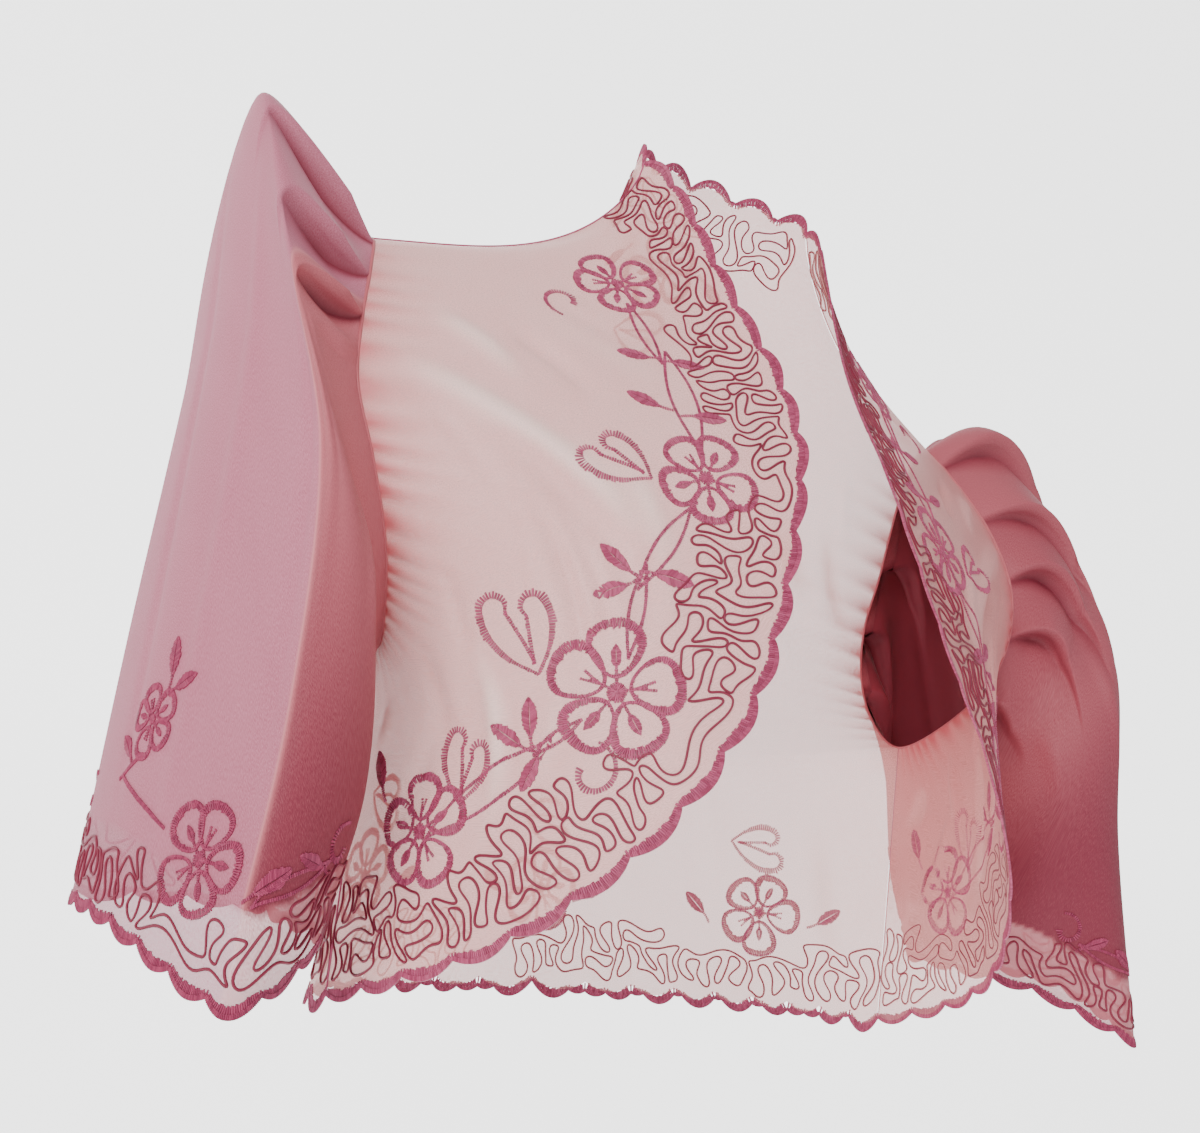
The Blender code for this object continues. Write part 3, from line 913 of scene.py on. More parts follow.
@dataclass
class Embroidery:
    """All the thread on one panel beside one edge."""
    panel: Panel
    border: Border
    seed: int
    comb_width: float = 0.0036
    comb_ends: float = 0.0014
    comb_pitch: float = 0.00098
    comb_inset: float = 0.0007
    comb_ragged: float = 0.16
    rim_width: float = 0.0019
    rim_pitch: float = 0.00070
    rim_inset: float = -0.0006
    rim_ragged: float = 0.05
    stem_width: float = 0.0013
    stem_pitch: float = 0.0009
    stem_ragged: float = 0.15
    clear: float = 0.002
    probe: float = 0.002
    slip: float = 0.002
    cell: float = 0.0093
    cell_rows: int = 7
    band_start: float = 0.0046
    bulge: float = 2.1
    wander: float = 0.21
    line_lift: float = 0.0003
    line_steps: int = 6
    softening: tuple[int, int, int] = (14, 45, 6)
    comb: Threads = field(init=False, default_factory=Threads)
    rim: Threads = field(init=False, default_factory=Threads)
    motifs: Threads = field(init=False, default_factory=Threads)
    lines: list[Array] = field(init=False, default_factory=list)
    keep_out: list[Triple] = field(init=False, default_factory=list)
    draw: random.Random = field(init=False)
    drawer: MotifDrawer = field(init=False)
    phase: float = field(init=False)

    def __post_init__(self) -> None:
        """Start the draws of uneven stitches and of the meander."""
        self.draw = random.Random(self.seed)
        self.drawer = MotifDrawer(self.seed + 1)
        self.phase = self.draw.uniform(0.0, 6.0)

    def sew_edge(self) -> None:
        """Lay the satin stitches round the scallops: a comb, long in the middle of each, and a rim."""
        self._sew_round(self.comb, self.comb_pitch, self.comb_inset, (self.comb_ends, self.comb_width),
                        self.comb_ragged)
        self._sew_round(self.rim, self.rim_pitch, self.rim_inset, (self.rim_width, self.rim_width),
                        self.rim_ragged)

    def _sew_round(self, threads: Threads, pitch: float, inset: float, widths: Pair,
                   ragged: float) -> None:
        """Lay one row of satin stitches round the scallops.

        Args:
            threads: Where the stitches are gathered.
            pitch: Distance between stitches.
            inset: How far in from the scalloped edge they begin.
            widths: Length of a stitch between two scallops and in the middle of one.
            ragged: Share by which stitch lengths differ.
        """
        border, (ends, middle) = self.border, widths
        count = int(border.length * 1.12 / pitch)
        fine = np.linspace(0.0, border.length, 6 * count)
        edge, _ = border.rim(fine)
        run = lengths_along(edge)
        along = np.interp(np.linspace(0.0, run[-1], count), run, fine)
        here, normals = border.rim(along)
        tangent = unit(border.rim(along + 0.0006)[0] - border.rim(along - 0.0006)[0])
        inner, _ = border.rim(along, 0.004)
        inwards = unit(np.cross(normals, tangent))
        flip = np.sign(np.sum(inwards * (inner - here), axis=1))
        inwards = inwards * np.where(flip == 0.0, 1.0, flip)[:, None]
        inwards = unit(inwards + 0.6 * unit(inner - here))
        passed = along / border.length * border.scallops
        swell = np.sin(np.pi * np.mod(passed, 1.0) ** 1.25) ** 0.8
        reach = ends + (middle - ends) * swell
        reach = reach * np.array([1.0 + ragged * self.draw.uniform(-1.0, 1.0) for _ in along])
        threads.add(here + inwards * inset, here + inwards * (inset + reach)[:, None], normals)

    def add_motif(self, motif: Motif) -> None:
        """Lay one motif on the panel, and keep the meander off it unless it is a leaf.

        Args:
            motif: What it is and where it lies.
        """
        flat = self.drawer.motif(motif.kind, motif.size)
        c, s = math.cos(motif.turn), math.sin(motif.turn)
        flat = flat @ np.array(((c, s), (-s, c)))
        self._lay(flat, motif.along, motif.inwards)
        if motif.kind is not MotifKind.LEAF:
            share = 0.50 if motif.kind is MotifKind.FLOWER else 0.42
            self.keep_out.append((motif.along, motif.inwards, share * motif.size + self.clear))

    def add_stem(self, stem: Stem) -> None:
        """Lay one stem of two lines.

        Args:
            stem: Where it runs.
        """
        start, end = np.array(stem.start), np.array(stem.end)
        middle = (start + end) / 2.0
        axis = end - start
        across = np.array((-axis[1], axis[0])) / np.linalg.norm(axis)
        t = evenly(30)[:, None]
        for side in (-1.0, 1.0):
            line = start + axis * t + side * stem.bow * np.sin(np.pi * t) * across - middle
            self.drawer.satin_line(line, self.stem_width, self.stem_pitch, self.stem_ragged)
        self._lay(self.drawer.take(), middle[0], middle[1])

    def _lay(self, flat: Array, along: float, inwards: float) -> None:
        """Drop flat stitches onto the panel, leaving out any that would miss it.

        Args:
            flat: Pairs of flat points round their middle.
            along: Where the middle lies along the edge.
            inwards: Where the middle lies in from the edge.
        """
        places, normals = self.border.locate(np.array((along, along + self.probe, along)),
                                             np.array((inwards, inwards, inwards + self.probe)))
        origin, normal = places[0], normals[0]
        first = unit(places[1] - origin)
        second = places[2] - origin
        second = unit(second - first * (second @ first))
        world = origin + flat[..., :1] * first + flat[..., 1:] * second
        ends, facing = self.panel.drop(world.reshape(-1, 3))
        facing = facing * np.sign(facing @ normal)[:, None]
        shift = ends - world.reshape(-1, 3)
        aside = np.linalg.norm(shift - np.sum(shift * facing, axis=1)[:, None] * facing, axis=1)
        ends, facing = ends.reshape(-1, 2, 3), facing.reshape(-1, 2, 3)[:, 0]
        kept = np.all(aside.reshape(-1, 2) < self.slip, axis=1)
        self.motifs.add(ends[kept, 0], ends[kept, 1], facing[kept])

    def meander(self, depth_at: Callable[[float], float]) -> None:
        """Lay a line that wanders through the band beside the edge without crossing itself.

        Args:
            depth_at: Function giving how deep the band is at metres along the edge.
        """
        border, cell = self.border, self.cell
        count = int(border.length / cell)
        pitch = border.length / count
        free = set()
        for i in range(count):
            for j in range(self.cell_rows):
                along, inwards = (i + 0.5) * pitch, self.band_start + (j + 0.5) * cell
                if inwards + 0.4 * cell > depth_at(along):
                    continue
                if any(math.hypot(along - a, inwards - b) < r for a, b, r in self.keep_out):
                    continue
                if not border.closed and not 0.3 * cell < along < border.length - 0.3 * cell:
                    continue
                free.add((i, j))
        while free:
            tree, links = self._grow_tree(free)
            free -= tree
            if len(tree) > 2:
                self._trace(tree, links, pitch)

    def _grow_tree(self, free: set[Cell]) -> tuple[set[Cell], set[frozenset[Cell]]]:
        """Join neighbouring free cells at random into one tree.

        Args:
            free: Cells that aren't used yet.

        Returns:
            The cells of the tree, and its links.
        """
        barred = set()
        for i, j in sorted(free):
            for beyond, back, chance in ((-1, 1, 0.75), (1, -1, 0.55)):
                level = (i + 1, j) in free and not {(i, j + beyond), (i + 1, j + beyond)} & free
                if level and {(i, j + back), (i + 1, j + back)} <= free and self.draw.random() < chance:
                    barred.add(frozenset(((i, j), (i + 1, j))))
        start = min(free)
        seen, links, open_cells = {start}, set(), [start]
        while open_cells:
            cell = open_cells[-1] if self.draw.random() < 0.35 else self.draw.choice(open_cells)
            around = []
            for di, dj in ((1, 0), (-1, 0), (0, 1), (0, -1)):
                other = (cell[0] + di, cell[1] + dj)
                if other in free and other not in seen and frozenset((cell, other)) not in barred:
                    around.append(other)
            if not around:
                open_cells.remove(cell)
                continue
            other = self.draw.choice(around)
            seen.add(other)
            links.add(frozenset((cell, other)))
            open_cells.append(other)
        return seen, links

    def _outline(self, tree: set[Cell], links: set[frozenset[Cell]]) -> list[Cell]:
        """Follow the outside of a tree once round.

        Args:
            tree: Its cells.
            links: Pairs of joined cells.

        Returns:
            The quarter cells passed, in order.
        """
        def joined(a: Cell, b: Cell) -> bool:
            """Tell whether the line may step from one quarter cell to the next.

            Args:
                a: The quarter cell where it is.
                b: The quarter cell beside it.

            Returns:
                Whether the step stays in the tree and crosses none of its links.
            """
            ca, cb = (a[0] // 2, a[1] // 2), (b[0] // 2, b[1] // 2)
            if ca not in tree or cb not in tree:
                return False
            if ca != cb:
                return frozenset((ca, cb)) in links
            if a[1] == b[1]:
                beyond = (ca[0], ca[1] + (1 if a[1] % 2 == 1 else -1))
            else:
                beyond = (ca[0] + (1 if a[0] % 2 == 1 else -1), ca[1])
            return frozenset((ca, beyond)) not in links

        first = min(tree)
        here = (first[0] * 2, first[1] * 2)
        path, last = [here], None
        while True:
            options = [(here[0] + di, here[1] + dj) for di, dj in ((1, 0), (0, 1), (-1, 0), (0, -1))]
            options = [o for o in options if o != last and joined(here, o)]
            if not options:
                break
            last, here = here, options[0]
            if here == path[0]:
                break
            path.append(here)
        return path

    def _trace(self, tree: set[Cell], links: set[frozenset[Cell]], pitch: float) -> None:
        """Draw the outside of a tree as a smooth line on the cloth.

        Args:
            tree: Its cells.
            links: Pairs of joined cells.
            pitch: Length of a cell along the edge.
        """
        corners = np.array(self._outline(tree, links), float) / 2.0 + 0.25
        steps, (before, between, after) = self.line_steps, self.softening
        line = np.repeat(corners, steps, axis=0)
        step = np.tile(np.arange(steps) / steps, len(corners))[:, None]
        line = line * (1.0 - step) + np.repeat(np.roll(corners, -1, axis=0), steps, axis=0) * step
        line = relaxed(line, before)
        line = line + self.bulge * (line - relaxed(line, between))
        line = relaxed(line, after)
        x, y = line[:, 0], line[:, 1]
        line = line + self.wander * np.stack((np.sin(2.4 * y + 0.8 * x + self.phase)
                                              + 0.6 * np.sin(1.6 * x - 1.9 * y),
                                              np.sin(2.1 * x + 0.7 * y + 2.0 * self.phase)
                                              + 0.5 * np.sin(1.3 * x + self.phase)), axis=1)
        along, inwards = line[:, 0] * pitch, self.band_start + line[:, 1] * self.cell
        points, normals = self.border.locate(along, inwards)
        self.lines.append(points + normals * self.line_lift)


class Tree(NamedTuple):
    """A Geometry Nodes group and the identifiers of its inputs."""
    group: NodeTree
    inputs: dict[str, str]


class NodeMaker:
    """Places and joins the nodes of one group."""

    def __init__(self, group: NodeTree) -> None:
        """Keep the group."""
        self.group = group

    def add(self, kind: str, settings: Optional[dict] = None, **values: object) -> Node:
        """Place a node.

        Args:
            kind: Its type.
            settings: Its properties.
            **values: Its inputs, as for fill.

        Returns:
            The node.
        """
        node = self.group.nodes.new(kind)
        for key, value in (settings or {}).items():
            setattr(node, key, value)
        self.fill(node, **values)
        return node

    def fill(self, node: Node, **values: object) -> None:
        """Give inputs of a node their values.

        Args:
            node: The node.
            **values: Its inputs, a value or an output to join, with _ for a space in a name.
        """
        for key, value in values.items():
            name = key.replace("_", " ")
            self.put(next(s for s in node.inputs if s.name == name and s.enabled), value)

    def put(self, socket: NodeSocket, value: object) -> None:
        """Give a socket its value.

        Args:
            socket: The input.
            value: A value, or an output to join to it.
        """
        if isinstance(value, NodeSocket):
            self.group.links.new(value, socket)
        else:
            socket.default_value = value

    def math(self, operation: str, first: object, second: object = 0.0) -> NodeSocket:
        """Place a Math node.

        Args:
            operation: What it works out.
            first: First value, or an output to join.
            second: Second value, or an output to join.

        Returns:
            Its output.
        """
        node = self.group.nodes.new("ShaderNodeMath")
        node.operation = operation
        self.put(node.inputs[0], first)
        self.put(node.inputs[1], second)
        return node.outputs[0]

    def blend(self, share: object, first: object, second: object) -> NodeSocket:
        """Place a Mix node for two colours.

        Args:
            share: Share of the second.
            first: First colour, or an output to join.
            second: Second colour, or an output to join.

        Returns:
            The mixed colour.
        """
        node = self.add("ShaderNodeMix", {"data_type": "RGBA"})
        for number, value in ((0, share), (6, first), (7, second)):
            self.put(node.inputs[number], value)
        return node.outputs[2]

    def mark(self, name: str) -> NodeSocket:
        """Return the mesh attribute of a name."""
        return self.add("ShaderNodeAttribute", {"attribute_name": name}).outputs["Fac"]


def open_group(name: str, inputs: Sequence[tuple[str, str]]) -> Tree:
    """Start a Geometry Nodes group that takes and gives a geometry.

    Args:
        name: Its name.
        inputs: Name and kind of each further input.

    Returns:
        The group, with the identifiers of those inputs.
    """
    group = bpy.data.node_groups.new(name, "GeometryNodeTree")
    face = group.interface
    face.new_socket(name="Geometry", in_out="INPUT", socket_type="NodeSocketGeometry")
    names = {key: face.new_socket(name=key, in_out="INPUT", socket_type="NodeSocket" + kind).identifier
             for key, kind in inputs}
    face.new_socket(name="Geometry", in_out="OUTPUT", socket_type="NodeSocketGeometry")
    return Tree(group, names)


def stitch_tree() -> Tree:
    """Build the group that lays one stitch on each point.

    Returns:
        The group. Points carry run, lift and length.
    """
    tree = open_group("lay_stitches", (("Width", "Float"), ("Height", "Float"), ("Seed", "Int"),
                                       ("Finish", "Material")))
    group = tree.group
    maker = NodeMaker(group)
    given = group.nodes.new("NodeGroupInput")
    line = maker.add("GeometryNodeCurvePrimitiveLine", Start=(-0.5, 0.0, 0.0), End=(0.5, 0.0, 0.0))
    cut = maker.add("GeometryNodeResampleCurve", Curve=line.outputs[0], Count=3)
    along = group.nodes.new("GeometryNodeSplineParameter")
    centred = maker.math("SUBTRACT", maker.math("MULTIPLY", along.outputs["Factor"], 2.0), 1.0)
    taper = maker.math("SUBTRACT", 1.0, maker.math("MULTIPLY", maker.math("MULTIPLY", centred, centred), 0.5))
    round_line = maker.add("GeometryNodeSetCurveRadius", Curve=cut.outputs[0], Radius=taper)
    ring = maker.add("GeometryNodeCurvePrimitiveCircle", Resolution=4, Radius=0.5)
    stitch = maker.add("GeometryNodeCurveToMesh", Curve=round_line.outputs[0],
                       Profile_Curve=ring.outputs[0], Fill_Caps=True)

    def named(name: str, kind: str) -> NodeSocket:
        """Read an attribute of the points.

        Args:
            name: Its name.
            kind: Its data type.

        Returns:
            Its value.
        """
        node = group.nodes.new("GeometryNodeInputNamedAttribute")
        node.data_type = kind
        node.inputs["Name"].default_value = name
        return next(s for s in node.outputs if s.enabled and s.name == "Attribute")

    lift = maker.add("FunctionNodeAlignRotationToVector", {"axis": "Z"}, Vector=named("lift", "FLOAT_VECTOR"))
    turn = maker.add("FunctionNodeAlignRotationToVector", {"axis": "X", "pivot_axis": "Z"},
                     Rotation=lift.outputs[0], Vector=named("run", "FLOAT_VECTOR"))
    size = maker.add("ShaderNodeCombineXYZ", X=named("length", "FLOAT"), Y=given.outputs["Width"],
                     Z=given.outputs["Height"])
    laid = maker.add("GeometryNodeInstanceOnPoints", Points=given.outputs["Geometry"],
                     Instance=stitch.outputs[0], Rotation=turn.outputs[0], Scale=size.outputs[0])
    chance = maker.add("FunctionNodeRandomValue", {"data_type": "FLOAT"}, Seed=given.outputs["Seed"])
    tint = next(s for s in chance.outputs if s.enabled)
    stored = maker.add("GeometryNodeStoreNamedAttribute", {"data_type": "FLOAT", "domain": "INSTANCE"},
                       Geometry=laid.outputs[0], Name="tint", Value=tint)
    real = maker.add("GeometryNodeRealizeInstances", Geometry=stored.outputs[0])
    soft = maker.add("GeometryNodeSetShadeSmooth", Geometry=real.outputs[0])
    dressed = maker.add("GeometryNodeSetMaterial", Geometry=soft.outputs[0], Material=given.outputs["Finish"])
    out = group.nodes.new("NodeGroupOutput")
    group.links.new(dressed.outputs[0], out.inputs[0])
    return tree


def cord_tree() -> Tree:
    """Build the group that turns lines of edges into round thread.

    Returns:
        The group.
    """
    tree = open_group("lay_cord", (("Thickness", "Float"), ("Sides", "Int"), ("Finish", "Material")))
    group = tree.group
    maker = NodeMaker(group)
    given = group.nodes.new("NodeGroupInput")
    line = maker.add("GeometryNodeMeshToCurve", Mesh=given.outputs["Geometry"])
    radius = maker.math("MULTIPLY", given.outputs["Thickness"], 0.5)
    ring = maker.add("GeometryNodeCurvePrimitiveCircle", Resolution=given.outputs["Sides"], Radius=radius)
    cord = maker.add("GeometryNodeCurveToMesh", Curve=line.outputs[0], Profile_Curve=ring.outputs[0])
    soft = maker.add("GeometryNodeSetShadeSmooth", Geometry=cord.outputs[0])
    real = maker.add("GeometryNodeRealizeInstances", Geometry=soft.outputs[0])
    dressed = maker.add("GeometryNodeSetMaterial", Geometry=real.outputs[0], Material=given.outputs["Finish"])
    out = group.nodes.new("NodeGroupOutput")
    group.links.new(dressed.outputs[0], out.inputs[0])
    return tree


@dataclass
class ThreadMaker:
    """Makes pieces from gathered stitches and lines with the Geometry Nodes groups."""
    cord_sides: int = 4
    stitches: Tree = field(init=False, default_factory=stitch_tree)
    cord: Tree = field(init=False, default_factory=cord_tree)

    def _settle(self, piece: Object, tree: Tree, values: dict[str, object]) -> Object:
        """Run a group on a piece and keep the result as a plain mesh.

        Args:
            piece: The piece.
            tree: The group.
            values: Value of each named input.

        Returns:
            The piece.
        """
        modifier = piece.modifiers.new(tree.group.name, "NODES")
        modifier.node_group = tree.group
        for name, value in values.items():
            modifier[tree.inputs[name]] = value
        bpy.context.view_layer.update()
        graph = bpy.context.evaluated_depsgraph_get()
        mesh = bpy.data.meshes.new_from_object(piece.evaluated_get(graph))
        piece.modifiers.remove(modifier)
        piece.data = mesh
        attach(piece, "root")
        return piece

    def lay(self, name: str, threads: Sequence[Threads], width: float, height: float,
            material: Material, slot: Slot, seed: int) -> Object:
        """Make gathered stitches.

        Args:
            name: Name of the piece.
            threads: Where the stitches lie.
            width: Width of a stitch.
            height: Height of a stitch.
            material: Its finish.
            slot: The record's slot for it; not used.
            seed: Seed of the tints.

        Returns:
            The piece.
        """
        starts = np.concatenate([a for t in threads for a in t.starts])
        ends = np.concatenate([a for t in threads for a in t.ends])
        lifts = np.concatenate([a for t in threads for a in t.lifts])
        middles = (starts + ends) / 2.0 + lifts * height * 0.25
        mesh = bpy.data.meshes.new(name)
        mesh.from_pydata(middles.tolist(), [], [])
        for key, values in (("run", ends - starts), ("lift", lifts)):
            layer = mesh.attributes.new(key, "FLOAT_VECTOR", "POINT")
            layer.data.foreach_set("vector", values.astype(np.float32).ravel())
        layer = mesh.attributes.new("length", "FLOAT", "POINT")
        layer.data.foreach_set("value", np.linalg.norm(ends - starts, axis=1).astype(np.float32))
        values = {"Width": width, "Height": height, "Seed": seed, "Finish": material}
        return self._settle(placed(name, mesh), self.stitches, values)

    def cords(self, name: str, lines: Sequence[Array], thickness: float,
              material: Material, slot: Slot, closed: bool = True) -> Object:
        """Make lines of thread.

        Args:
            name: Name of the piece.
            lines: Points of each line.
            thickness: Across the thread.
            material: Its finish.
            slot: The record's slot for it; not used.
            closed: Whether each line runs back to its start.

        Returns:
            The piece.
        """
        points, edges, first = np.concatenate(lines), [], 0
        for line in lines:
            count = len(line)
            edges += [(first + k, first + (k + 1) % count) for k in range(count if closed else count - 1)]
            first += count
        mesh = bpy.data.meshes.new(name)
        mesh.from_pydata(points.tolist(), edges, [])
        values = {"Thickness": thickness, "Sides": self.cord_sides, "Finish": material}
        return self._settle(placed(name, mesh), self.cord, values)


def weave_group() -> NodeTree:
    """Build the shader group for woven cloth.

    Returns:
        The group, whose outputs are a colour, a height, a roughness and a thread mask.
    """
    group = bpy.data.node_groups.new("weave", "ShaderNodeTree")
    face = group.interface
    for name, kind, value in (("First Colour", "Color", (0.8, 0.5, 0.5, 1.0)),
                              ("Second Colour", "Color", (0.7, 0.4, 0.4, 1.0)),
                              ("Roughness", "Float", 0.4), ("Grain", "Float", 0.5),
                              ("Mottle", "Float", 0.3)):
        face.new_socket(name=name, in_out="INPUT", socket_type="NodeSocket" + kind).default_value = value
    for name, kind in (("Colour", "Color"), ("Height", "Float"), ("Roughness", "Float"), ("Mask", "Float")):
        face.new_socket(name=name, in_out="OUTPUT", socket_type="NodeSocket" + kind)
    maker = NodeMaker(group)
    given = group.nodes.new("NodeGroupInput")
    uv = maker.add("ShaderNodeUVMap", {"uv_map": "weave"})
    grains = []
    for stretch in ((2300.0, 1300.0, 1.0), (1300.0, 2300.0, 1.0)):
        place = maker.add("ShaderNodeMapping", Vector=uv.outputs[0], Scale=stretch)
        noise = maker.add("ShaderNodeTexNoise", Vector=place.outputs[0], Scale=1.0, Detail=2.0)
        grains.append(noise.outputs["Fac"])
    grain = maker.math("MULTIPLY", maker.math("ADD", grains[0], grains[1]), 0.5)
    blot = maker.add("ShaderNodeTexNoise", Vector=uv.outputs[0], Scale=22.0, Detail=3.0)
    mask = maker.math("ADD", 0.5, maker.math("MULTIPLY", maker.math("SUBTRACT", grain, 0.5), 4.5))
    lean = maker.math("ADD", maker.math("MULTIPLY", mask, given.outputs["Grain"]),
                      maker.math("MULTIPLY", blot.outputs["Fac"], given.outputs["Mottle"]))
    colour = maker.blend(lean, given.outputs["First Colour"], given.outputs["Second Colour"])
    rough = maker.math("ADD", given.outputs["Roughness"],
                       maker.math("MULTIPLY", maker.math("SUBTRACT", mask, 0.5), 0.15))
    out = group.nodes.new("NodeGroupOutput")
    for socket, value in zip(out.inputs, (colour, grain, rough, mask)):
        group.links.new(value, socket)
    return group


@dataclass
class Wardrobe:
    """The materials of the garment."""
    cover_grain: float = 0.24
    highlight_cover: float = 0.20
    pucker_and_shade_cover: float = 0.34
    weave: NodeTree = field(init=False)
    organza: Material = field(init=False)
    satin: Material = field(init=False)
    lining: Material = field(init=False)
    rose: Material = field(init=False)
    dark: Material = field(init=False)
    deep: Material = field(init=False)
    seam: Material = field(init=False)

    def __post_init__(self) -> None:
        """Build the shared weave, then every material."""
        self.weave = weave_group()
        self.organza, self.satin, self.lining = self._organza(), self._satin(), self._lining()
        self.rose, self.dark = self._thread(ROSE_THREAD), self._thread(DARK_THREAD)
        self.deep, self.seam = self._thread(DEEP_THREAD), self._thread(SEAM_ROLL)

    def _start(self, finish: Finish) -> tuple[Material, NodeMaker, Node]:
        """Start a material.

        Args:
            finish: What it is made for.

        Returns:
            The material, its node maker and its shader.
        """
        material = bpy.data.materials.new(finish.name)
        material.use_nodes = True
        shader = material.node_tree.nodes["Principled BSDF"]
        maker = NodeMaker(material.node_tree)
        maker.fill(shader, Roughness=finish.roughness, Sheen_Weight=finish.sheen, Sheen_Roughness=0.35,
                   Specular_IOR_Level=0.3)
        return material, maker, shader

    def _woven(self, maker: NodeMaker, finish: Finish, grain: float, mottle: float) -> Node:
        """Place the shared weave in a material.

        Args:
            maker: The material's node maker.
            finish: The cloth.
            grain: Share of the second colour in the grain.
            mottle: Share of the second colour in soft blots.

        Returns:
            The node.
        """
        return maker.add("ShaderNodeGroup", {"node_tree": self.weave}, First_Colour=(*finish.colour, 1.0),
                         Second_Colour=(*finish.second, 1.0), Roughness=finish.roughness, Grain=grain,
                         Mottle=mottle)

    def _emboss(self, maker: NodeMaker, shader: Node, cloth: Node, distance: float, strength: float) -> None:
        """Let the weave stand out of the cloth.

        Args:
            maker: The material's node maker.
            shader: Its shader.
            cloth: Its weave.
            distance: Height of a thread.
            strength: How strongly it shows.
        """
        height = cloth.outputs["Height"]
        bump = maker.add("ShaderNodeBump", Height=height, Distance=distance, Strength=strength)
        maker.fill(shader, Normal=bump.outputs[0])

    def _organza(self) -> Material:
        """Make the sheer cloth of the body: a painted highlight on creases, and deeper and denser in puckers,
        partly from gathered cloth and partly painted shade.

        Returns:
            The material.
        """
        material, maker, shader = self._start(ORGANZA)
        cloth = self._woven(maker, ORGANZA, 0.5, 0.5)
        pucker, crease = maker.mark("pucker"), maker.mark("crease")
        # Painted highlight: the colour turns paler on the creases
        pale = maker.blend(maker.math("MULTIPLY", crease, 0.75), cloth.outputs["Colour"], CREASE_HIGHLIGHT)
        cover = maker.math("ADD", 0.60, maker.math("MULTIPLY", cloth.outputs["Mask"], self.cover_grain))
        cover = maker.math("ADD", cover, maker.math("MULTIPLY", crease, self.highlight_cover))
        cover = maker.math("ADD", cover, maker.math("MULTIPLY", pucker, self.pucker_and_shade_cover))
        # Deeper colour in the puckers, partly denser gathered cloth and partly painted shade
        maker.fill(shader, Base_Color=maker.blend(pucker, pale, PUCKER_AND_SHADE_DEEP), Alpha=cover,
                   Roughness=cloth.outputs["Roughness"])
        self._emboss(maker, shader, cloth, 0.0003, 0.4)
        return material

    def _satin(self) -> Material:
        """Make the sleeve cloth: mauve outside, painted shade and reflected light on the front face, a
        painted glint on its ridge, painted shade in its folds, sheer below the lining.

        Returns:
            The material.
        """
        material, maker, shader = self._start(SHOT_SATIN)
        cloth = self._woven(maker, SHOT_SATIN, 0.70, 0.25)
        # Painted shade and reflected light on the front face, deeper lower down
        warm = maker.mark("warm")
        rose = maker.add("ShaderNodeValToRGB")
        for stop, place, colour in zip(rose.color_ramp.elements, (0.30, 1.0), (FACE_SHADE_ROSE, FACE_SHADE_DEEP)):
            stop.position, stop.color = place, colour
        grainy = maker.math("MULTIPLY", maker.math("SUBTRACT", cloth.outputs["Mask"], 0.5), 0.25)
        maker.put(rose.inputs[0], maker.math("ADD", warm, grainy))
        turned = maker.add("ShaderNodeMapRange", {"interpolation_type": "SMOOTHSTEP"}, From_Max=0.45,
                           Value=warm)
        mixed = maker.blend(turned.outputs[0], cloth.outputs["Colour"], rose.outputs[0])
        # Painted glint along the ridge where the front face turns
        level = maker.math("ABSOLUTE", maker.math("SUBTRACT", turned.outputs[0], 0.55))
        glint = maker.math("MULTIPLY", maker.math("SUBTRACT", 0.45, level), 1.1)
        ridge = maker.blend(glint, mixed, RIDGE_GLINT)
        sheer = maker.math("ADD", 0.74, maker.math("MULTIPLY", cloth.outputs["Mask"], 0.18))
        rest = maker.math("MULTIPLY", maker.math("SUBTRACT", 1.0, sheer), maker.mark("lined"))
        # Painted shade in the pleats' folds and towards the hem
        maker.fill(shader, Base_Color=maker.blend(maker.mark("fold"), ridge, FOLD_SHADE),
                   Alpha=maker.math("ADD", sheer, rest), Roughness=cloth.outputs["Roughness"])
        self._emboss(maker, shader, cloth, 0.0004, 0.6)
        return material

    def _lining(self) -> Material:
        """Make the opaque cloth inside the sleeves.

        Returns:
            The material.
        """
        material, maker, shader = self._start(LINING)
        cloth = self._woven(maker, LINING, 0.3, 0.3)
        maker.fill(shader, Base_Color=cloth.outputs["Colour"])
        self._emboss(maker, shader, cloth, 0.0003, 0.4)
        return material

    def _thread(self, finish: Finish) -> Material:
        """Make shiny thread whose tint differs from stitch to stitch.

        Args:
            finish: Which thread.

        Returns:
            The material.
        """
        material, maker, shader = self._start(finish)
        colours = (*finish.colour, 1.0), (*finish.second, 1.0)
        maker.fill(shader, Base_Color=maker.blend(maker.mark("tint"), *colours))
        return material


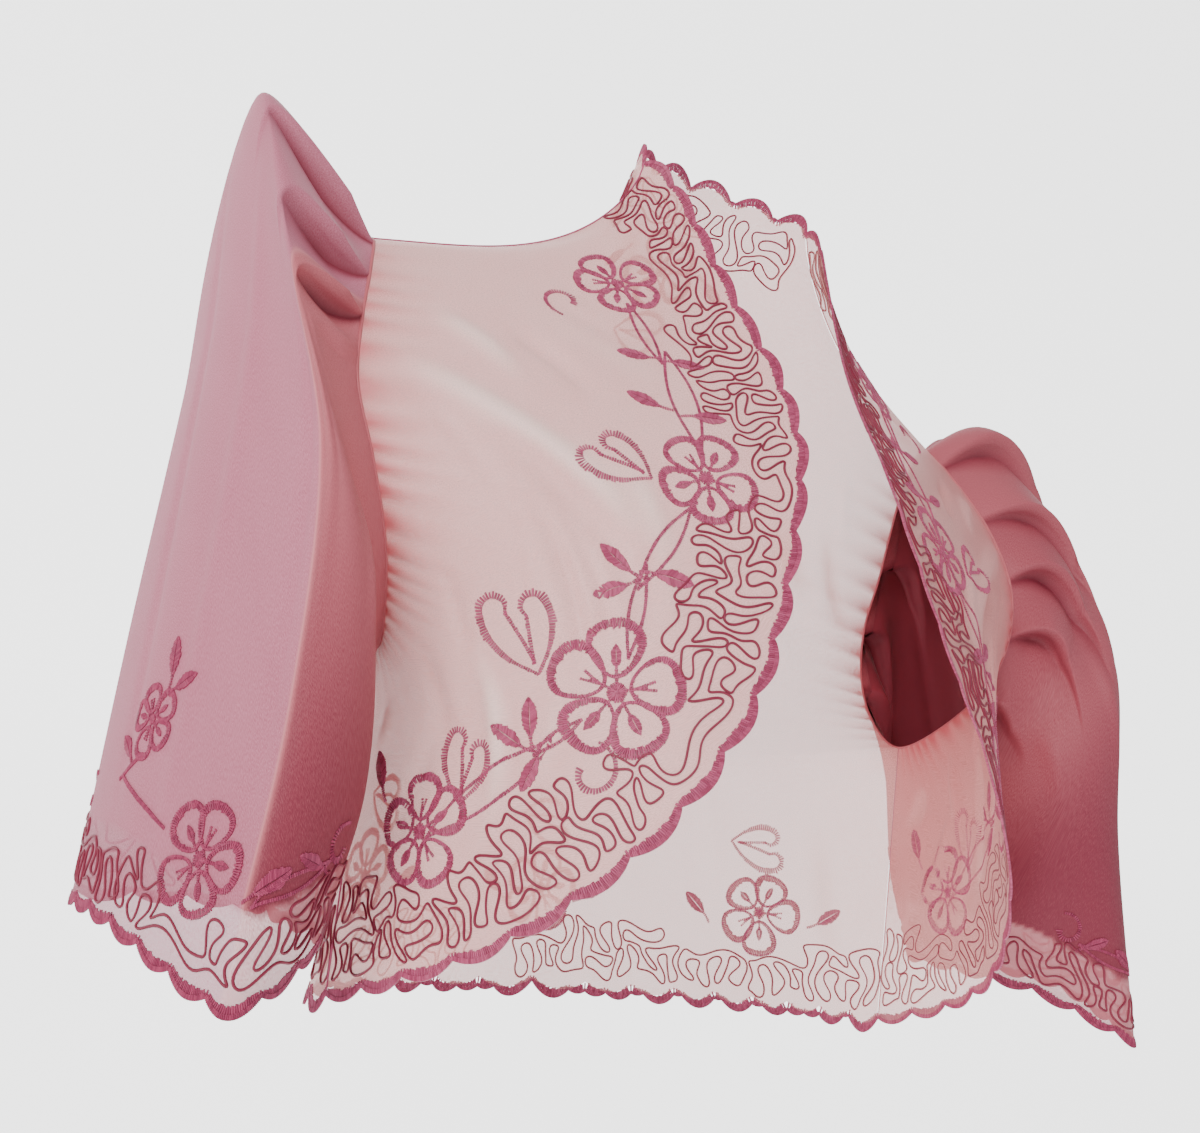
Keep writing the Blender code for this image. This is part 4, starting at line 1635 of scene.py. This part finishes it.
@dataclass
class Front:
    """One front panel."""
    side: Side
    steps: int = 10
    columns: int = 56
    puckers: int = 26
    pucker_height: float = 0.0011
    pucker_reach: float = 0.075
    pucker_and_shade_strength: float = 1.15
    wrinkles: int = 42
    wrinkle_seed: int = 11
    wrinkle_lean: float = -2.2
    wrinkle_height: float = 0.0034
    highlight_height: float = 0.0022
    shade: float = 0.38
    highlight_cut_in_shade: float = 0.7
    seam_thread: float = 0.0008
    flat: Pair = (0.19, 0.55)
    border: Border = field(init=False)

    def _lay_out(self, down: Array, across: Array) -> Array:
        """Lay out the panel without puckers and scallops.

        Args:
            down: Share of the way down, for each row.
            across: Share of the way across, for each column.

        Returns:
            The grid of points.
        """
        side = self.side
        edge = even_line(FRONT_EDGE, len(down) - 1)
        near, far = edge[:, :3], armhole(edge[:, 3] / 2.0, side)
        side_seam = near[-1] + across[:, None] * (far[-1] - near[-1])
        grid = patch(near, far, shoulder_seam(side, across), side_seam, across, down)
        grid[..., 1] -= FRONT_FULLNESS * np.sin(np.pi * down)[:, None] * np.sin(np.pi * across)[None]
        return grid * (side.sign, 1.0, 1.0)

    def build(self, wardrobe: Wardrobe) -> Panel:
        """Make the panel, puckered along its armhole and lightly creased.

        Args:
            wardrobe: The materials.

        Returns:
            The panel.
        """
        side, count = self.side, FRONT_SCALLOPS * self.steps
        down, across = evenly(count + 1), evenly(self.columns)
        grid = self._lay_out(down, across)
        hollow = grid * (0.0, 0.0, 1.0)
        panel = Panel("front_panel" + side.suffix, grid, hollow)
        beside_seam = np.exp(-(1.0 - across) / self.pucker_reach)[None] * np.sin(np.pi * down)[:, None] ** 0.5
        ripple = np.sin(2.0 * np.pi * self.puckers * (down + 0.010 * np.sin(31.0 * down)))[:, None]
        out = self.pucker_height * ripple * beside_seam * (1.0 - np.exp(-(1.0 - across) / 0.01))[None]
        calm = smooth_step(0.22, 0.60, across)[None] * np.minimum(1.0, (1.0 - across) / 0.05)[None]
        table = scattered_creases(self.wrinkle_seed, self.wrinkles, self.wrinkle_lean, self.wrinkle_height)
        wrinkles = calm * creases(down, across, table)
        panel.displace(out + wrinkles, hollow)
        # Painted highlight on the creases, less of it on the front that lies in shade
        crease_highlight = np.clip(wrinkles / self.highlight_height, 0.0, 1.0 - self.highlight_cut_in_shade * side.front_shade)
        panel.attributes["crease"] = crease_highlight
        # Deeper colour in the puckers: partly denser gathered cloth, partly painted shade along the ripple;
        # painted shade over the front that lies in shade
        gathered = self.pucker_and_shade_strength * beside_seam * (0.45 + 0.55 * (0.5 + 0.5 * ripple))
        gathered = gathered + self.shade * side.front_shade * smooth_step(0.1, 0.7, across)
        panel.attributes["pucker"] = np.clip(gathered, 0.0, 1.0)
        self.border = Border(panel.grid.copy(), panel.normals, FRONT_SCALLOPS)
        outwards = unit(panel.grid[:, 0] - panel.grid[:, 1])
        panel.grid[:, 0] += outwards * scallop(np.arange(count + 1) / self.steps)[:, None]
        panel.build(wardrobe.organza, Slot.BODY)
        return panel

    def embroider(self, panel: Panel) -> Embroidery:
        """Lay the thread along the scalloped edge.

        Args:
            panel: The panel.

        Returns:
            The thread.
        """
        work = Embroidery(panel, self.border, FRONT_SEED + self.side.number)
        work.sew_edge()
        for motif in FRONT_MOTIFS:
            work.add_motif(motif)
        for stem in FRONT_STEMS:
            work.add_stem(stem)
        work.meander(front_band)
        return work


@dataclass
class Back:
    """The back panel."""
    steps: int = 10
    row_steps: int = 6
    puckers: float = 24.0
    pucker_height: float = 0.0010
    pucker_reach: float = 0.03
    crease_count: int = 22
    crease_seed: int = 23
    crease_lean: float = 0.4
    crease_height: float = 0.0014
    motif_inset: float = 0.046
    leaf_distance: float = 0.034
    heart_inset: float = 0.082
    flat: Pair = (0.44, 0.45)
    neck: Border = field(init=False)
    hem: Border = field(init=False)

    def _half(self, side: Side) -> Array:
        """Lay out half of the panel, from the middle to the armhole.

        Args:
            side: Which half; both are laid out on the left.

        Returns:
            The grid of points.
        """
        neck_steps, hem_steps = (n * self.steps for n in (HALF_NECK_SCALLOPS, HALF_HEM_SCALLOPS))
        collar, tip = BACK_LINE[0], FRONT_EDGE[0, :3]
        angle = np.linspace(0.0, np.pi / 2.0, neck_steps + 1)[:-1, None]
        neck = np.hstack((tip[0] * np.sin(angle), tip[1] + (collar[0] - tip[1]) * np.cos(angle),
                          tip[2] + (collar[1] - tip[2]) * np.cos(angle)))
        seam = shoulder_seam(side, evenly(80))
        run = lengths_along(seam)
        shares = np.linspace(0.0, run[-1], hem_steps - neck_steps + 1)
        top = np.vstack((neck, np.stack([np.interp(shares, run, seam[:, k]) for k in range(3)], axis=1)))
        corner = FRONT_EDGE[-1, :3]
        angle = np.linspace(0.0, np.pi / 2.0, hem_steps + 1)[:, None]
        hem = np.hstack((corner[0] * np.sin(angle) ** 0.9, BACK_LINE[-1, 0] * np.cos(angle) ** 0.9,
                         np.full_like(angle, corner[2])))
        turns = np.append(sleeve_turns(side, np.arange(COARSE_COLUMNS), 0.0), 1.0)
        arm_rows = len(BACK_ROW_STEPS)
        columns = COARSE_COLUMNS - np.cumsum((0,) + BACK_ROW_STEPS)
        at = np.linspace(0.0, arm_rows, arm_rows * self.row_steps + 1)
        column = np.interp(at, np.arange(arm_rows + 1), columns)
        arm = armhole(np.interp(column, np.arange(COARSE_COLUMNS + 1), turns), side)
        sides = np.linspace(arm[-1], corner, SIDE_ROWS * self.row_steps + 1)[1:]
        far = np.vstack((arm, sides))
        near = np.insert(even_line(np.insert(BACK_LINE, 0, 0.0, axis=1), len(far) - 1)[:, 1:], 0, 0.0, axis=1)
        across, down = evenly(hem_steps + 1), evenly(len(far))
        grid = patch(near, far, top, hem, across, down)
        grid[..., 1] += BLADE_FULLNESS * np.sin(np.pi * down)[:, None] * np.sin(np.pi * across)[None]
        return grid

    def build(self, wardrobe: Wardrobe) -> Panel:
        """Make the panel, with its scallops at the neck and the hem.

        Args:
            wardrobe: The materials.

        Returns:
            The panel.
        """
        right = (self._half(RIGHT) * (-1.0, 1.0, 1.0))[:, :0:-1]
        grid = np.concatenate((right, self._half(LEFT)), axis=1)
        grid[..., 1] += SEAM_GAP
        hollow = grid * (0.0, 0.0, 1.0) - (0.0, 0.0, 0.03)
        panel = Panel("back_panel", grid, hollow)
        self._pucker(panel, hollow)
        rows, columns = grid.shape[:2]
        middle, half_neck = columns // 2, HALF_NECK_SCALLOPS * self.steps
        collar = slice(middle - half_neck, middle + half_neck + 1)
        points, normals = panel.grid.transpose(1, 0, 2), panel.normals.transpose(1, 0, 2)
        deep = rows // 3
        self.neck = Border(points[collar, :deep], normals[collar, :deep], 2 * HALF_NECK_SCALLOPS)
        self.hem = Border(points[:, ::-1][:, :deep], normals[:, ::-1][:, :deep], 2 * HALF_HEM_SCALLOPS)
        steps = np.arange(columns) - middle
        upwards = unit(panel.grid[0, collar] - panel.grid[1, collar])
        panel.grid[0, collar] += upwards * scallop(steps[collar] / self.steps)[:, None]
        downwards = unit(panel.grid[-1] - panel.grid[-2])
        panel.grid[-1] += downwards * scallop(steps / self.steps)[:, None]
        panel.build(wardrobe.organza, Slot.BODY)
        return panel

    def _pucker(self, panel: Panel, hollow: Array) -> None:
        """Pucker the panel along its armholes and crease it lightly, with a painted highlight on the creases
        and a deeper colour in the puckers, partly painted shade.

        Args:
            panel: The panel.
            hollow: Points on its hollow side.
        """
        rows, columns = panel.grid.shape[:2]
        down, across = evenly(rows), evenly(columns)
        aside = np.minimum(across, 1.0 - across)
        calm = np.minimum(1.0, aside / 0.06)[None]
        calm = calm * np.minimum(1.0, np.minimum(down, 1.0 - down) / 0.12)[:, None]
        table = scattered_creases(self.crease_seed, self.crease_count, self.crease_lean, self.crease_height)
        out = calm * creases(down, across, table)
        beside = np.exp(-aside / self.pucker_reach)[None]
        beside = beside * np.sin(np.pi * np.minimum(down / 0.78, 1.0))[:, None] ** 0.5
        ripple = np.sin(2.0 * np.pi * self.puckers * down)[:, None]
        inside = (1.0 - np.exp(-aside / 0.005))[None]
        panel.displace(out + self.pucker_height * ripple * beside * inside, hollow)
        # Painted highlight on the creases
        panel.attributes["crease"] = np.clip(out / self.crease_height, 0.0, 1.0)
        # Deeper colour in the puckers, partly denser gathered cloth, partly painted shade along the ripple
        panel.attributes["pucker"] = np.clip(beside * (0.6 + 0.4 * ripple), 0.0, 1.0)

    def embroider(self, panel: Panel) -> list[Embroidery]:
        """Lay the thread along the neck and the hem.

        Args:
            panel: The panel.

        Returns:
            The thread of each edge.
        """
        works = []
        for number, border in enumerate((self.neck, self.hem)):
            work = Embroidery(panel, border, BACK_SEED + number)
            work.sew_edge()
            count = int(border.length / BACK_FLOWER_SPACING)
            for k in range(count):
                along, inset = (k + 0.5) * border.length / max(count, 1), self.motif_inset
                before, after = along - self.leaf_distance, along + self.leaf_distance
                work.add_motif(Motif(MotifKind.FLOWER, along, inset, 0.046, 0.4 + k))
                work.add_motif(Motif(MotifKind.LEAF, after, inset, 0.018, 0.6))
                work.add_motif(Motif(MotifKind.LEAF, before, inset, 0.018, 2.4))
                work.add_motif(Motif(MotifKind.HEART, along, self.heart_inset, 0.028, -0.1))
            work.meander(back_band)
            works.append(work)
        return works


def sleeve_turns(side: Side, columns: Array, share: float) -> Array:
    """Find where round the sleeve its columns stand.

    Args:
        side: Which sleeve.
        columns: Columns, counted as in the solids but not only whole ones.
        share: How far down the sleeve.

    Returns:
        A turn for each column.
    """
    half, gathered = COARSE_COLUMNS // 2, side.pleats * COLUMNS_PER_PLEAT // 2
    head = np.concatenate((np.linspace(0.0, side.pleated_turn, gathered + 1),
                           np.linspace(side.pleated_turn, 0.5, half - gathered + 1)[1:]))
    head = np.concatenate((head, 1.0 - head[-2::-1]))
    fine = evenly(481)
    run = lengths_along(closed_line(LINE_TURNS, np.array(LOWER_SECTIONS[-1].points), LINE_CRISPNESS, fine))
    even = np.interp(np.arange(COARSE_COLUMNS + 1) / COARSE_COLUMNS * run[-1], run, fine)
    even[-1] = 1.0
    turns = head + (even - head) * float(np.clip((share - CAP_SHARE) / (1.0 - CAP_SHARE), 0.0, 1.0))
    return np.interp(columns, np.arange(COARSE_COLUMNS + 1), turns)


@dataclass
class Sleeve:
    """One butterfly sleeve with its lining."""
    side: Side
    columns: int = 336
    rows: int = 96
    head_crowding: float = 0.92
    most_fold_shade: float = 0.92
    hem_shadow: float = 0.08
    sheer_face_shade: float = 0.35
    seam_thread: float = 0.0016
    lining_drop: float = 0.031
    lining_inset: float = 0.0011
    lining_start: int = 4
    flat: Pair = (0.63, 0.43)
    lining_flat: Pair = (0.55, 0.36)
    border: Border = field(init=False)

    def _ring(self, share: float, places: Array) -> Array:
        """Work out one closed ring, before pleats and scallops.

        Args:
            share: How far down the sleeve.
            places: Column of the solids, for each column.

        Returns:
            Its points.
        """
        side = self.side
        sections = (side.cap,) + LOWER_SECTIONS
        keys = np.array([0.0] + [section.share for section in sections])
        lines = np.array([armhole(LINE_TURNS, side)] + [section.points for section in sections])
        here = hermite(keys, lines.reshape(len(keys), -1), 0.0, share).reshape(len(LINE_TURNS), 3)
        spread = INNER_SPLAY + (1.0 - INNER_SPLAY) * topmost(LINE_TURNS)
        here[:, 0] += side.splay * share * spread
        turns = sleeve_turns(side, places, share)
        ring = closed_line(LINE_TURNS, here, LINE_CRISPNESS, turns)
        up_the_cap = float(np.clip(share / CAP_SHARE, 0.0, 1.0))
        ring[:, 2] += side.cap_rise * math.sin(math.pi * up_the_cap) * topmost(turns)
        start = closed_line(LINE_TURNS, lines[0], LINE_CRISPNESS, turns)
        return ring + (1.0 - up_the_cap) ** 2 * (armhole(turns, side) - start)

    def _pleats(self, shares: Array, places: Array) -> tuple[Array, Array]:
        """Work out the pleats at the head of the sleeve.

        Args:
            shares: Share of the way down, for each row.
            places: Column of the solids, for each column.

        Returns:
            How far each point stands out, and how much painted shade lies in its fold.
        """
        side = self.side
        from_top = (places + COARSE_COLUMNS / 2) % COARSE_COLUMNS - COARSE_COLUMNS / 2
        count = from_top / COLUMNS_PER_PLEAT
        draw = random.Random(side.pleat_seed)
        weight = np.array([draw.uniform(0.65, 1.15) for _ in range(COARSE_COLUMNS)])
        end = np.array([draw.uniform(0.75, 1.15) for _ in range(COARSE_COLUMNS)])
        number = np.floor(count + 0.5).astype(int) % COARSE_COLUMNS
        phase = (count + 0.5) % 1.0
        fold = np.clip(phase / 0.90, 0.0, 1.0) ** 1.15 * np.clip((1.0 - phase) / 0.07, 0.0, 1.0)
        gathered = 1.0 - smooth_step(side.pleats / 2.0 - 0.5, side.pleats / 2.0, np.abs(count))
        reach = (shares[:, None] - 0.005) / (side.pleat_end * end[number][None] - 0.005)
        rise = np.clip(reach / 0.28, 0.0, 1.0)
        swell = rise ** 0.85 * (1.0 - smooth_step(0.25, 1.0, reach)) ** 0.8
        valley = np.maximum(1.0 - phase / (0.14 + 0.24 * rise), 0.0)
        valley = valley + np.maximum((phase - 0.91) / 0.09, 0.0)
        shade = np.clip(valley, 0.0, 1.0) ** 1.5 * (gathered * weight[number])[None]
        out = side.pleat_depth * swell * ((fold - 0.45) * gathered * weight[number])[None]
        return out, np.clip(1.1 * shade * (1.0 - smooth_step(0.15, 1.0, reach)), 0.0, self.most_fold_shade)

    def _face_shading(self, shares: Array, places: Array) -> Array:
        """Work out the painted shade and reflected light: mauve outside, salmon on the front face, and
        painted deeper lower down.

        Args:
            shares: Share of the way down, for each row.
            places: Column of the solids, for each column.

        Returns:
            The painted shade of each point.
        """
        face_shading = self.side.face_shading
        turns = np.array([sleeve_turns(self.side, places, share) for share in shares])
        front = smooth_step(0.112, 0.132, turns) * (1.0 - smooth_step(0.45, 0.52, turns))
        front = face_shading.front + (1.0 - face_shading.front) * front
        back = face_shading.back * smooth_step(0.5, 0.65, turns) * (1.0 - smooth_step(0.84, 0.89, turns))
        shade_down = face_shading.head + face_shading.rise * smooth_step(face_shading.start, face_shading.end, shares)[:, None]
        return np.clip(np.maximum(front * shade_down, back), 0.0, 1.0)

    def build(self, wardrobe: Wardrobe) -> tuple[Panel, Panel]:
        """Make the sleeve and its lining.

        Args:
            wardrobe: The materials.

        Returns:
            The sleeve and the lining.
        """
        side = self.side
        places = np.arange(self.columns) * COARSE_COLUMNS / self.columns
        shares = evenly(self.rows) ** self.head_crowding
        grid = np.array([self._ring(share, places) for share in shares])
        grid[0, :, 0] += ARMHOLE_GAP / 3.0
        grid *= (side.sign, 1.0, 1.0)
        middles = grid.mean(axis=1, keepdims=True)
        panel = Panel("sleeve" + side.suffix, grid, middles, closed=True)
        pleats, fold = self._pleats(shares, places)
        below = smooth_step(0.25, 0.45, shares)[:, None] * (1.0 - smooth_step(0.85, 1.0, shares))[:, None]
        panel.displace(pleats + below * creases(shares, places / COARSE_COLUMNS, LONG_CREASES), middles)
        up = lengths_along(panel.grid[::-1])[::-1]
        lined = smooth_step(self.lining_drop - 0.0012, self.lining_drop + 0.0004, up)
        # Painted shade and reflected light, fainter where the sleeve is sheer
        sheer_face_shade = self.sheer_face_shade + (1.0 - self.sheer_face_shade) * lined
        panel.attributes["warm"] = self._face_shading(shares, places) * sheer_face_shade
        # Painted shade in the pleats' folds, and painted shadow towards the hem
        shadow = self.hem_shadow * smooth_step(0.45, 0.95, shares)[:, None]
        panel.attributes["fold"] = np.clip(fold + shadow, 0.0, self.most_fold_shade)
        panel.attributes["lined"] = lined
        points, normals = panel.grid[::-1].transpose(1, 0, 2), panel.normals[::-1].transpose(1, 0, 2)
        deep = self.rows // 2
        self.border = Border(points[:, :deep], normals[:, :deep], SLEEVE_SCALLOPS, closed=True)
        inside = panel.grid - panel.normals * self.lining_inset
        downwards = unit(panel.grid[-1] - panel.grid[-2])
        panel.grid[-1] += downwards * scallop(places * SLEEVE_SCALLOPS / COARSE_COLUMNS)[:, None]
        panel.build(wardrobe.satin, Slot.SLEEVE)
        lining = Panel("sleeve_lining" + side.suffix, self._lining(inside), middles.mean(axis=0), closed=True)
        lining.build(wardrobe.lining, Slot.LINING)
        return panel, lining

    def _lining(self, inside: Array) -> Array:
        """Work out the lining, from under the pleats to a line above the hem.

        Args:
            inside: Points just inside the sleeve.

        Returns:
            The grid of points.
        """
        inside, count = inside[self.lining_start:], self.rows // 2
        run = lengths_along(inside)
        grid = np.empty((count, inside.shape[1], 3))
        for j in range(inside.shape[1]):
            at = np.linspace(0.0, run[-1, j] - self.lining_drop, count)
            for k in range(3):
                grid[:, j, k] = np.interp(at, run[:, j], inside[:, j, k])
        return grid

    def embroider(self, panel: Panel) -> Embroidery:
        """Lay the thread round the hem, with the motifs repeated.

        Args:
            panel: The sleeve.

        Returns:
            The thread.
        """
        work, length = Embroidery(panel, self.border, SLEEVE_SEED + self.side.number), self.border.length
        work.sew_edge()
        for repeat in range(SLEEVE_REPEATS):
            shift = repeat * length / SLEEVE_REPEATS
            for motif in SLEEVE_MOTIFS:
                work.add_motif(motif._replace(along=(motif.along + shift) % length))
            for stem in SLEEVE_STEMS:
                work.add_stem(stem._replace(start=(stem.start[0] + shift, stem.start[1]),
                                            end=(stem.end[0] + shift, stem.end[1])))
        work.meander(sleeve_band)
        return work


def front_band(along: float) -> float:
    """Return how deep the meandering band beside a front edge is at metres along it."""
    wave = 0.5 + 0.5 * math.cos(2.0 * math.pi * (along - 0.27) / 0.137)
    return 0.034 + 0.014 * wave


def sleeve_band(along: float) -> float:
    """Return how deep the band above a sleeve's hem is."""
    return 0.030 + 0.004 * math.sin(2.0 * math.pi * along / 0.09)


def back_band(along: float) -> float:
    """Return how deep the band beside an edge of the back is."""
    return 0.031 + 0.006 * math.cos(2.0 * math.pi * along / BACK_FLOWER_SPACING)


@dataclass
class Bolero:
    """The whole garment."""
    comb: Pair = (0.00095, 0.0007)
    rim: Pair = (0.0009, 0.0012)
    motif: Pair = (0.00085, 0.0008)
    meander: float = 0.00115
    seam_lifts: Pair = (0.0004, 0.0003)
    wardrobe: Wardrobe = field(init=False, default_factory=Wardrobe)
    threads: ThreadMaker = field(init=False, default_factory=ThreadMaker)

    def _sew(self, name: str, works: Sequence[Embroidery], seed: int,
             thread: Material) -> list[Object]:
        """Make the thread of one panel.

        Args:
            name: Name of the panel.
            works: The embroidery beside each of its edges.
            seed: Seed of the tints.
            thread: Finish of the satin stitches.

        Returns:
            The pieces.
        """
        maker, slot = self.threads, Slot.LINING
        combs, rims = [work.comb for work in works], [work.rim for work in works]
        drawn = [work.motifs for work in works if work.motifs.starts]
        lines = [line for work in works for line in work.lines]
        return [maker.lay(name + "_edge_comb", combs, *self.comb, thread, slot, seed),
                maker.lay(name + "_edge_rim", rims, *self.rim, thread, slot, seed + 1),
                maker.cords(name + "_meander", lines, self.meander, self.wardrobe.dark, slot),
                maker.lay(name + "_motifs", drawn, *self.motif, thread, slot, seed + 2)]

    def make_front(self, side: Side) -> list[Object]:
        """Make one front panel with its thread and seams.

        Args:
            side: Which one.

        Returns:
            The pieces.
        """
        front = Front(side)
        panel = front.build(self.wardrobe)
        work = front.embroider(panel)
        made = self._sew(panel.name, [work], FRONT_TINTS + TINTS_APART * side.number, self.wardrobe.rose)
        lines = [panel.grid[row] + panel.normals[row] * lift for row, lift in zip((0, -1), self.seam_lifts)]
        made.append(self.threads.cords(panel.name + "_seams", lines, front.seam_thread, self.wardrobe.rose,
                                       Slot.BODY, closed=False))
        panel.declare(front.flat, Held.HUNG, made)
        return [panel.piece, *made]

    def make_sleeve(self, side: Side) -> list[Object]:
        """Make one sleeve with its lining, thread and armhole seam.

        Args:
            side: Which one.

        Returns:
            The pieces.
        """
        sleeve = Sleeve(side)
        panel, lining = sleeve.build(self.wardrobe)
        work = sleeve.embroider(panel)
        made = self._sew(panel.name, [work], SLEEVE_TINTS + TINTS_APART * side.number, self.wardrobe.deep)
        made.append(self.threads.cords(panel.name + "_armhole_seam", [panel.grid[0]], sleeve.seam_thread,
                                       self.wardrobe.seam, Slot.SLEEVE))
        panel.declare(sleeve.flat, Held.GATHERED, made)
        lining.declare(sleeve.lining_flat, Held.HUNG, [])
        return [panel.piece, lining.piece, *made]

    def make_back(self) -> list[Object]:
        """Make the back panel with its thread.

        Returns:
            The pieces.
        """
        back = Back()
        panel = back.build(self.wardrobe)
        made = self._sew(panel.name, back.embroider(panel), BACK_TINTS, self.wardrobe.rose)
        panel.declare(back.flat, Held.HUNG, made)
        return [panel.piece, *made]


@dataclass
class Studio:
    """The camera, the lights and the pale floor."""
    camera_place: Triple = (-0.41422, -0.54968, -0.27756)
    camera_right: Triple = (0.81505, -0.56832, 0.11275)
    camera_up: Triple = (-0.20251, -0.09710, 0.97445)
    camera_forward: Triple = (0.54285, 0.81706, 0.19423)
    lens: float = 42.75
    sensor: float = 36.0
    aim: Triple = (0.0, 0.0, -0.15)
    sky: Pair = (0.5, 2.6)
    floor_glow: Pair = (0.7, 2.3)
    floor_height: float = -1.35
    floor_front: float = -6.0
    floor_depth: float = 4.0
    floor_half_width: float = 12.0
    wall_bend: float = 1.4
    wall_height: float = 9.0
    bend_steps: int = 12

    def set_up(self) -> None:
        """Make the camera, the lights, the floor and the backdrop."""
        self._camera()
        self._light("key", (-2.2, -1.5, 1.3), 1.4, 80.0)
        self._light("fill", (1.8, -2.2, 0.6), 2.6, 11.0)
        self._light("back", (0.6, 2.2, 1.6), 2.4, 18.0)
        world = bpy.data.worlds.new("studio")
        bpy.context.scene.world = world
        world.use_nodes = True
        ground = world.node_tree.nodes["Background"]
        ground.inputs["Color"].default_value = (1.0, 0.99, 0.985, 1.0)
        self._brighten(world.node_tree, ground.inputs["Strength"], self.sky)
        self._floor()

    def _camera(self) -> None:
        """Place the camera where the photo was taken from."""
        right, up, forward = self.camera_right, self.camera_up, self.camera_forward
        camera = bpy.data.cameras.new("camera")
        camera.lens, camera.sensor_width, camera.clip_start = self.lens, self.sensor, 0.01
        holder = placed("camera", camera)
        holder.matrix_world = Matrix([[right[k], up[k], -forward[k], self.camera_place[k]] for k in range(3)]
                                     + [[0.0, 0.0, 0.0, 1.0]])
        bpy.context.scene.camera = holder

    def _brighten(self, tree: NodeTree, strength: NodeSocket,
                  levels: Pair) -> None:
        """Let a backdrop look brighter to the camera than it shines on the garment.

        Args:
            tree: Its nodes.
            strength: The input to set.
            levels: Strength as light and as seen.
        """
        seen, bright = tree.nodes.new("ShaderNodeLightPath"), tree.nodes.new("ShaderNodeMapRange")
        bright.inputs["To Min"].default_value, bright.inputs["To Max"].default_value = levels
        tree.links.new(seen.outputs["Is Camera Ray"], bright.inputs["Value"])
        tree.links.new(bright.outputs[0], strength)

    def _light(self, name: str, place: Triple, size: float, power: float) -> None:
        """Place a soft square light that faces the garment.

        Args:
            name: Its name.
            place: Where it stands.
            size: Its width.
            power: Its power in watts.
        """
        lamp = bpy.data.lights.new(name, "AREA")
        lamp.shape, lamp.size, lamp.energy = "SQUARE", size, power
        holder = placed(name, lamp)
        holder.location = place
        aim = Vector(self.aim) - Vector(place)
        holder.rotation_euler = aim.to_track_quat("-Z", "Y").to_euler()

    def _profile(self) -> list[Pair]:
        """Draw the side view of the sheet that is floor in front and wall behind.

        Returns:
            Its points, back and up.
        """
        bend, start = self.wall_bend, self.floor_depth - self.wall_bend
        angles = [math.pi / 2.0 * k / self.bend_steps for k in range(1, self.bend_steps + 1)]
        curve = [(start + bend * math.sin(angle), bend * (1.0 - math.cos(angle))) for angle in angles]
        return [(self.floor_front, 0.0), (start, 0.0), *curve, (self.floor_depth, self.wall_height)]

    def _floor(self) -> None:
        """Make the pale sheet that the garment stands before."""
        profile, half = self._profile(), self.floor_half_width
        points = [(x, y, self.floor_height + z) for y, z in profile for x in (-half, half)]
        faces = [(2 * k, 2 * k + 1, 2 * k + 3, 2 * k + 2) for k in range(len(profile) - 1)]
        mesh = bpy.data.meshes.new("floor")
        mesh.from_pydata(points, [], faces)
        mesh.shade_smooth()
        material = bpy.data.materials.new("pale_floor")
        material.use_nodes = True
        shader = material.node_tree.nodes["Principled BSDF"]
        shader.inputs["Base Color"].default_value = (0.93, 0.93, 0.93, 1.0)
        shader.inputs["Roughness"].default_value = 0.9
        shader.inputs["Emission Color"].default_value = (1.0, 1.0, 1.0, 1.0)
        self._brighten(material.node_tree, shader.inputs["Emission Strength"], self.floor_glow)
        mesh.materials.append(material)
        placed("floor", mesh)


def report(pieces: Sequence[Object]) -> None:
    """Log the size of each piece."""
    for piece in pieces:
        log.info("%s: %d points, %d faces", piece.name, len(piece.data.vertices), len(piece.data.polygons))


def main() -> None:
    """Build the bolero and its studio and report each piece."""
    logging.basicConfig(level=logging.INFO, format="%(name)s: %(message)s")
    log.info("frame with %d solids", len(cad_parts))
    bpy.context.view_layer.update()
    bolero = Bolero()
    for side in (RIGHT, LEFT):
        report(bolero.make_front(side))
        report(bolero.make_sleeve(side))
    report(bolero.make_back())
    Studio().set_up()


if __name__ == "__main__":
    main()
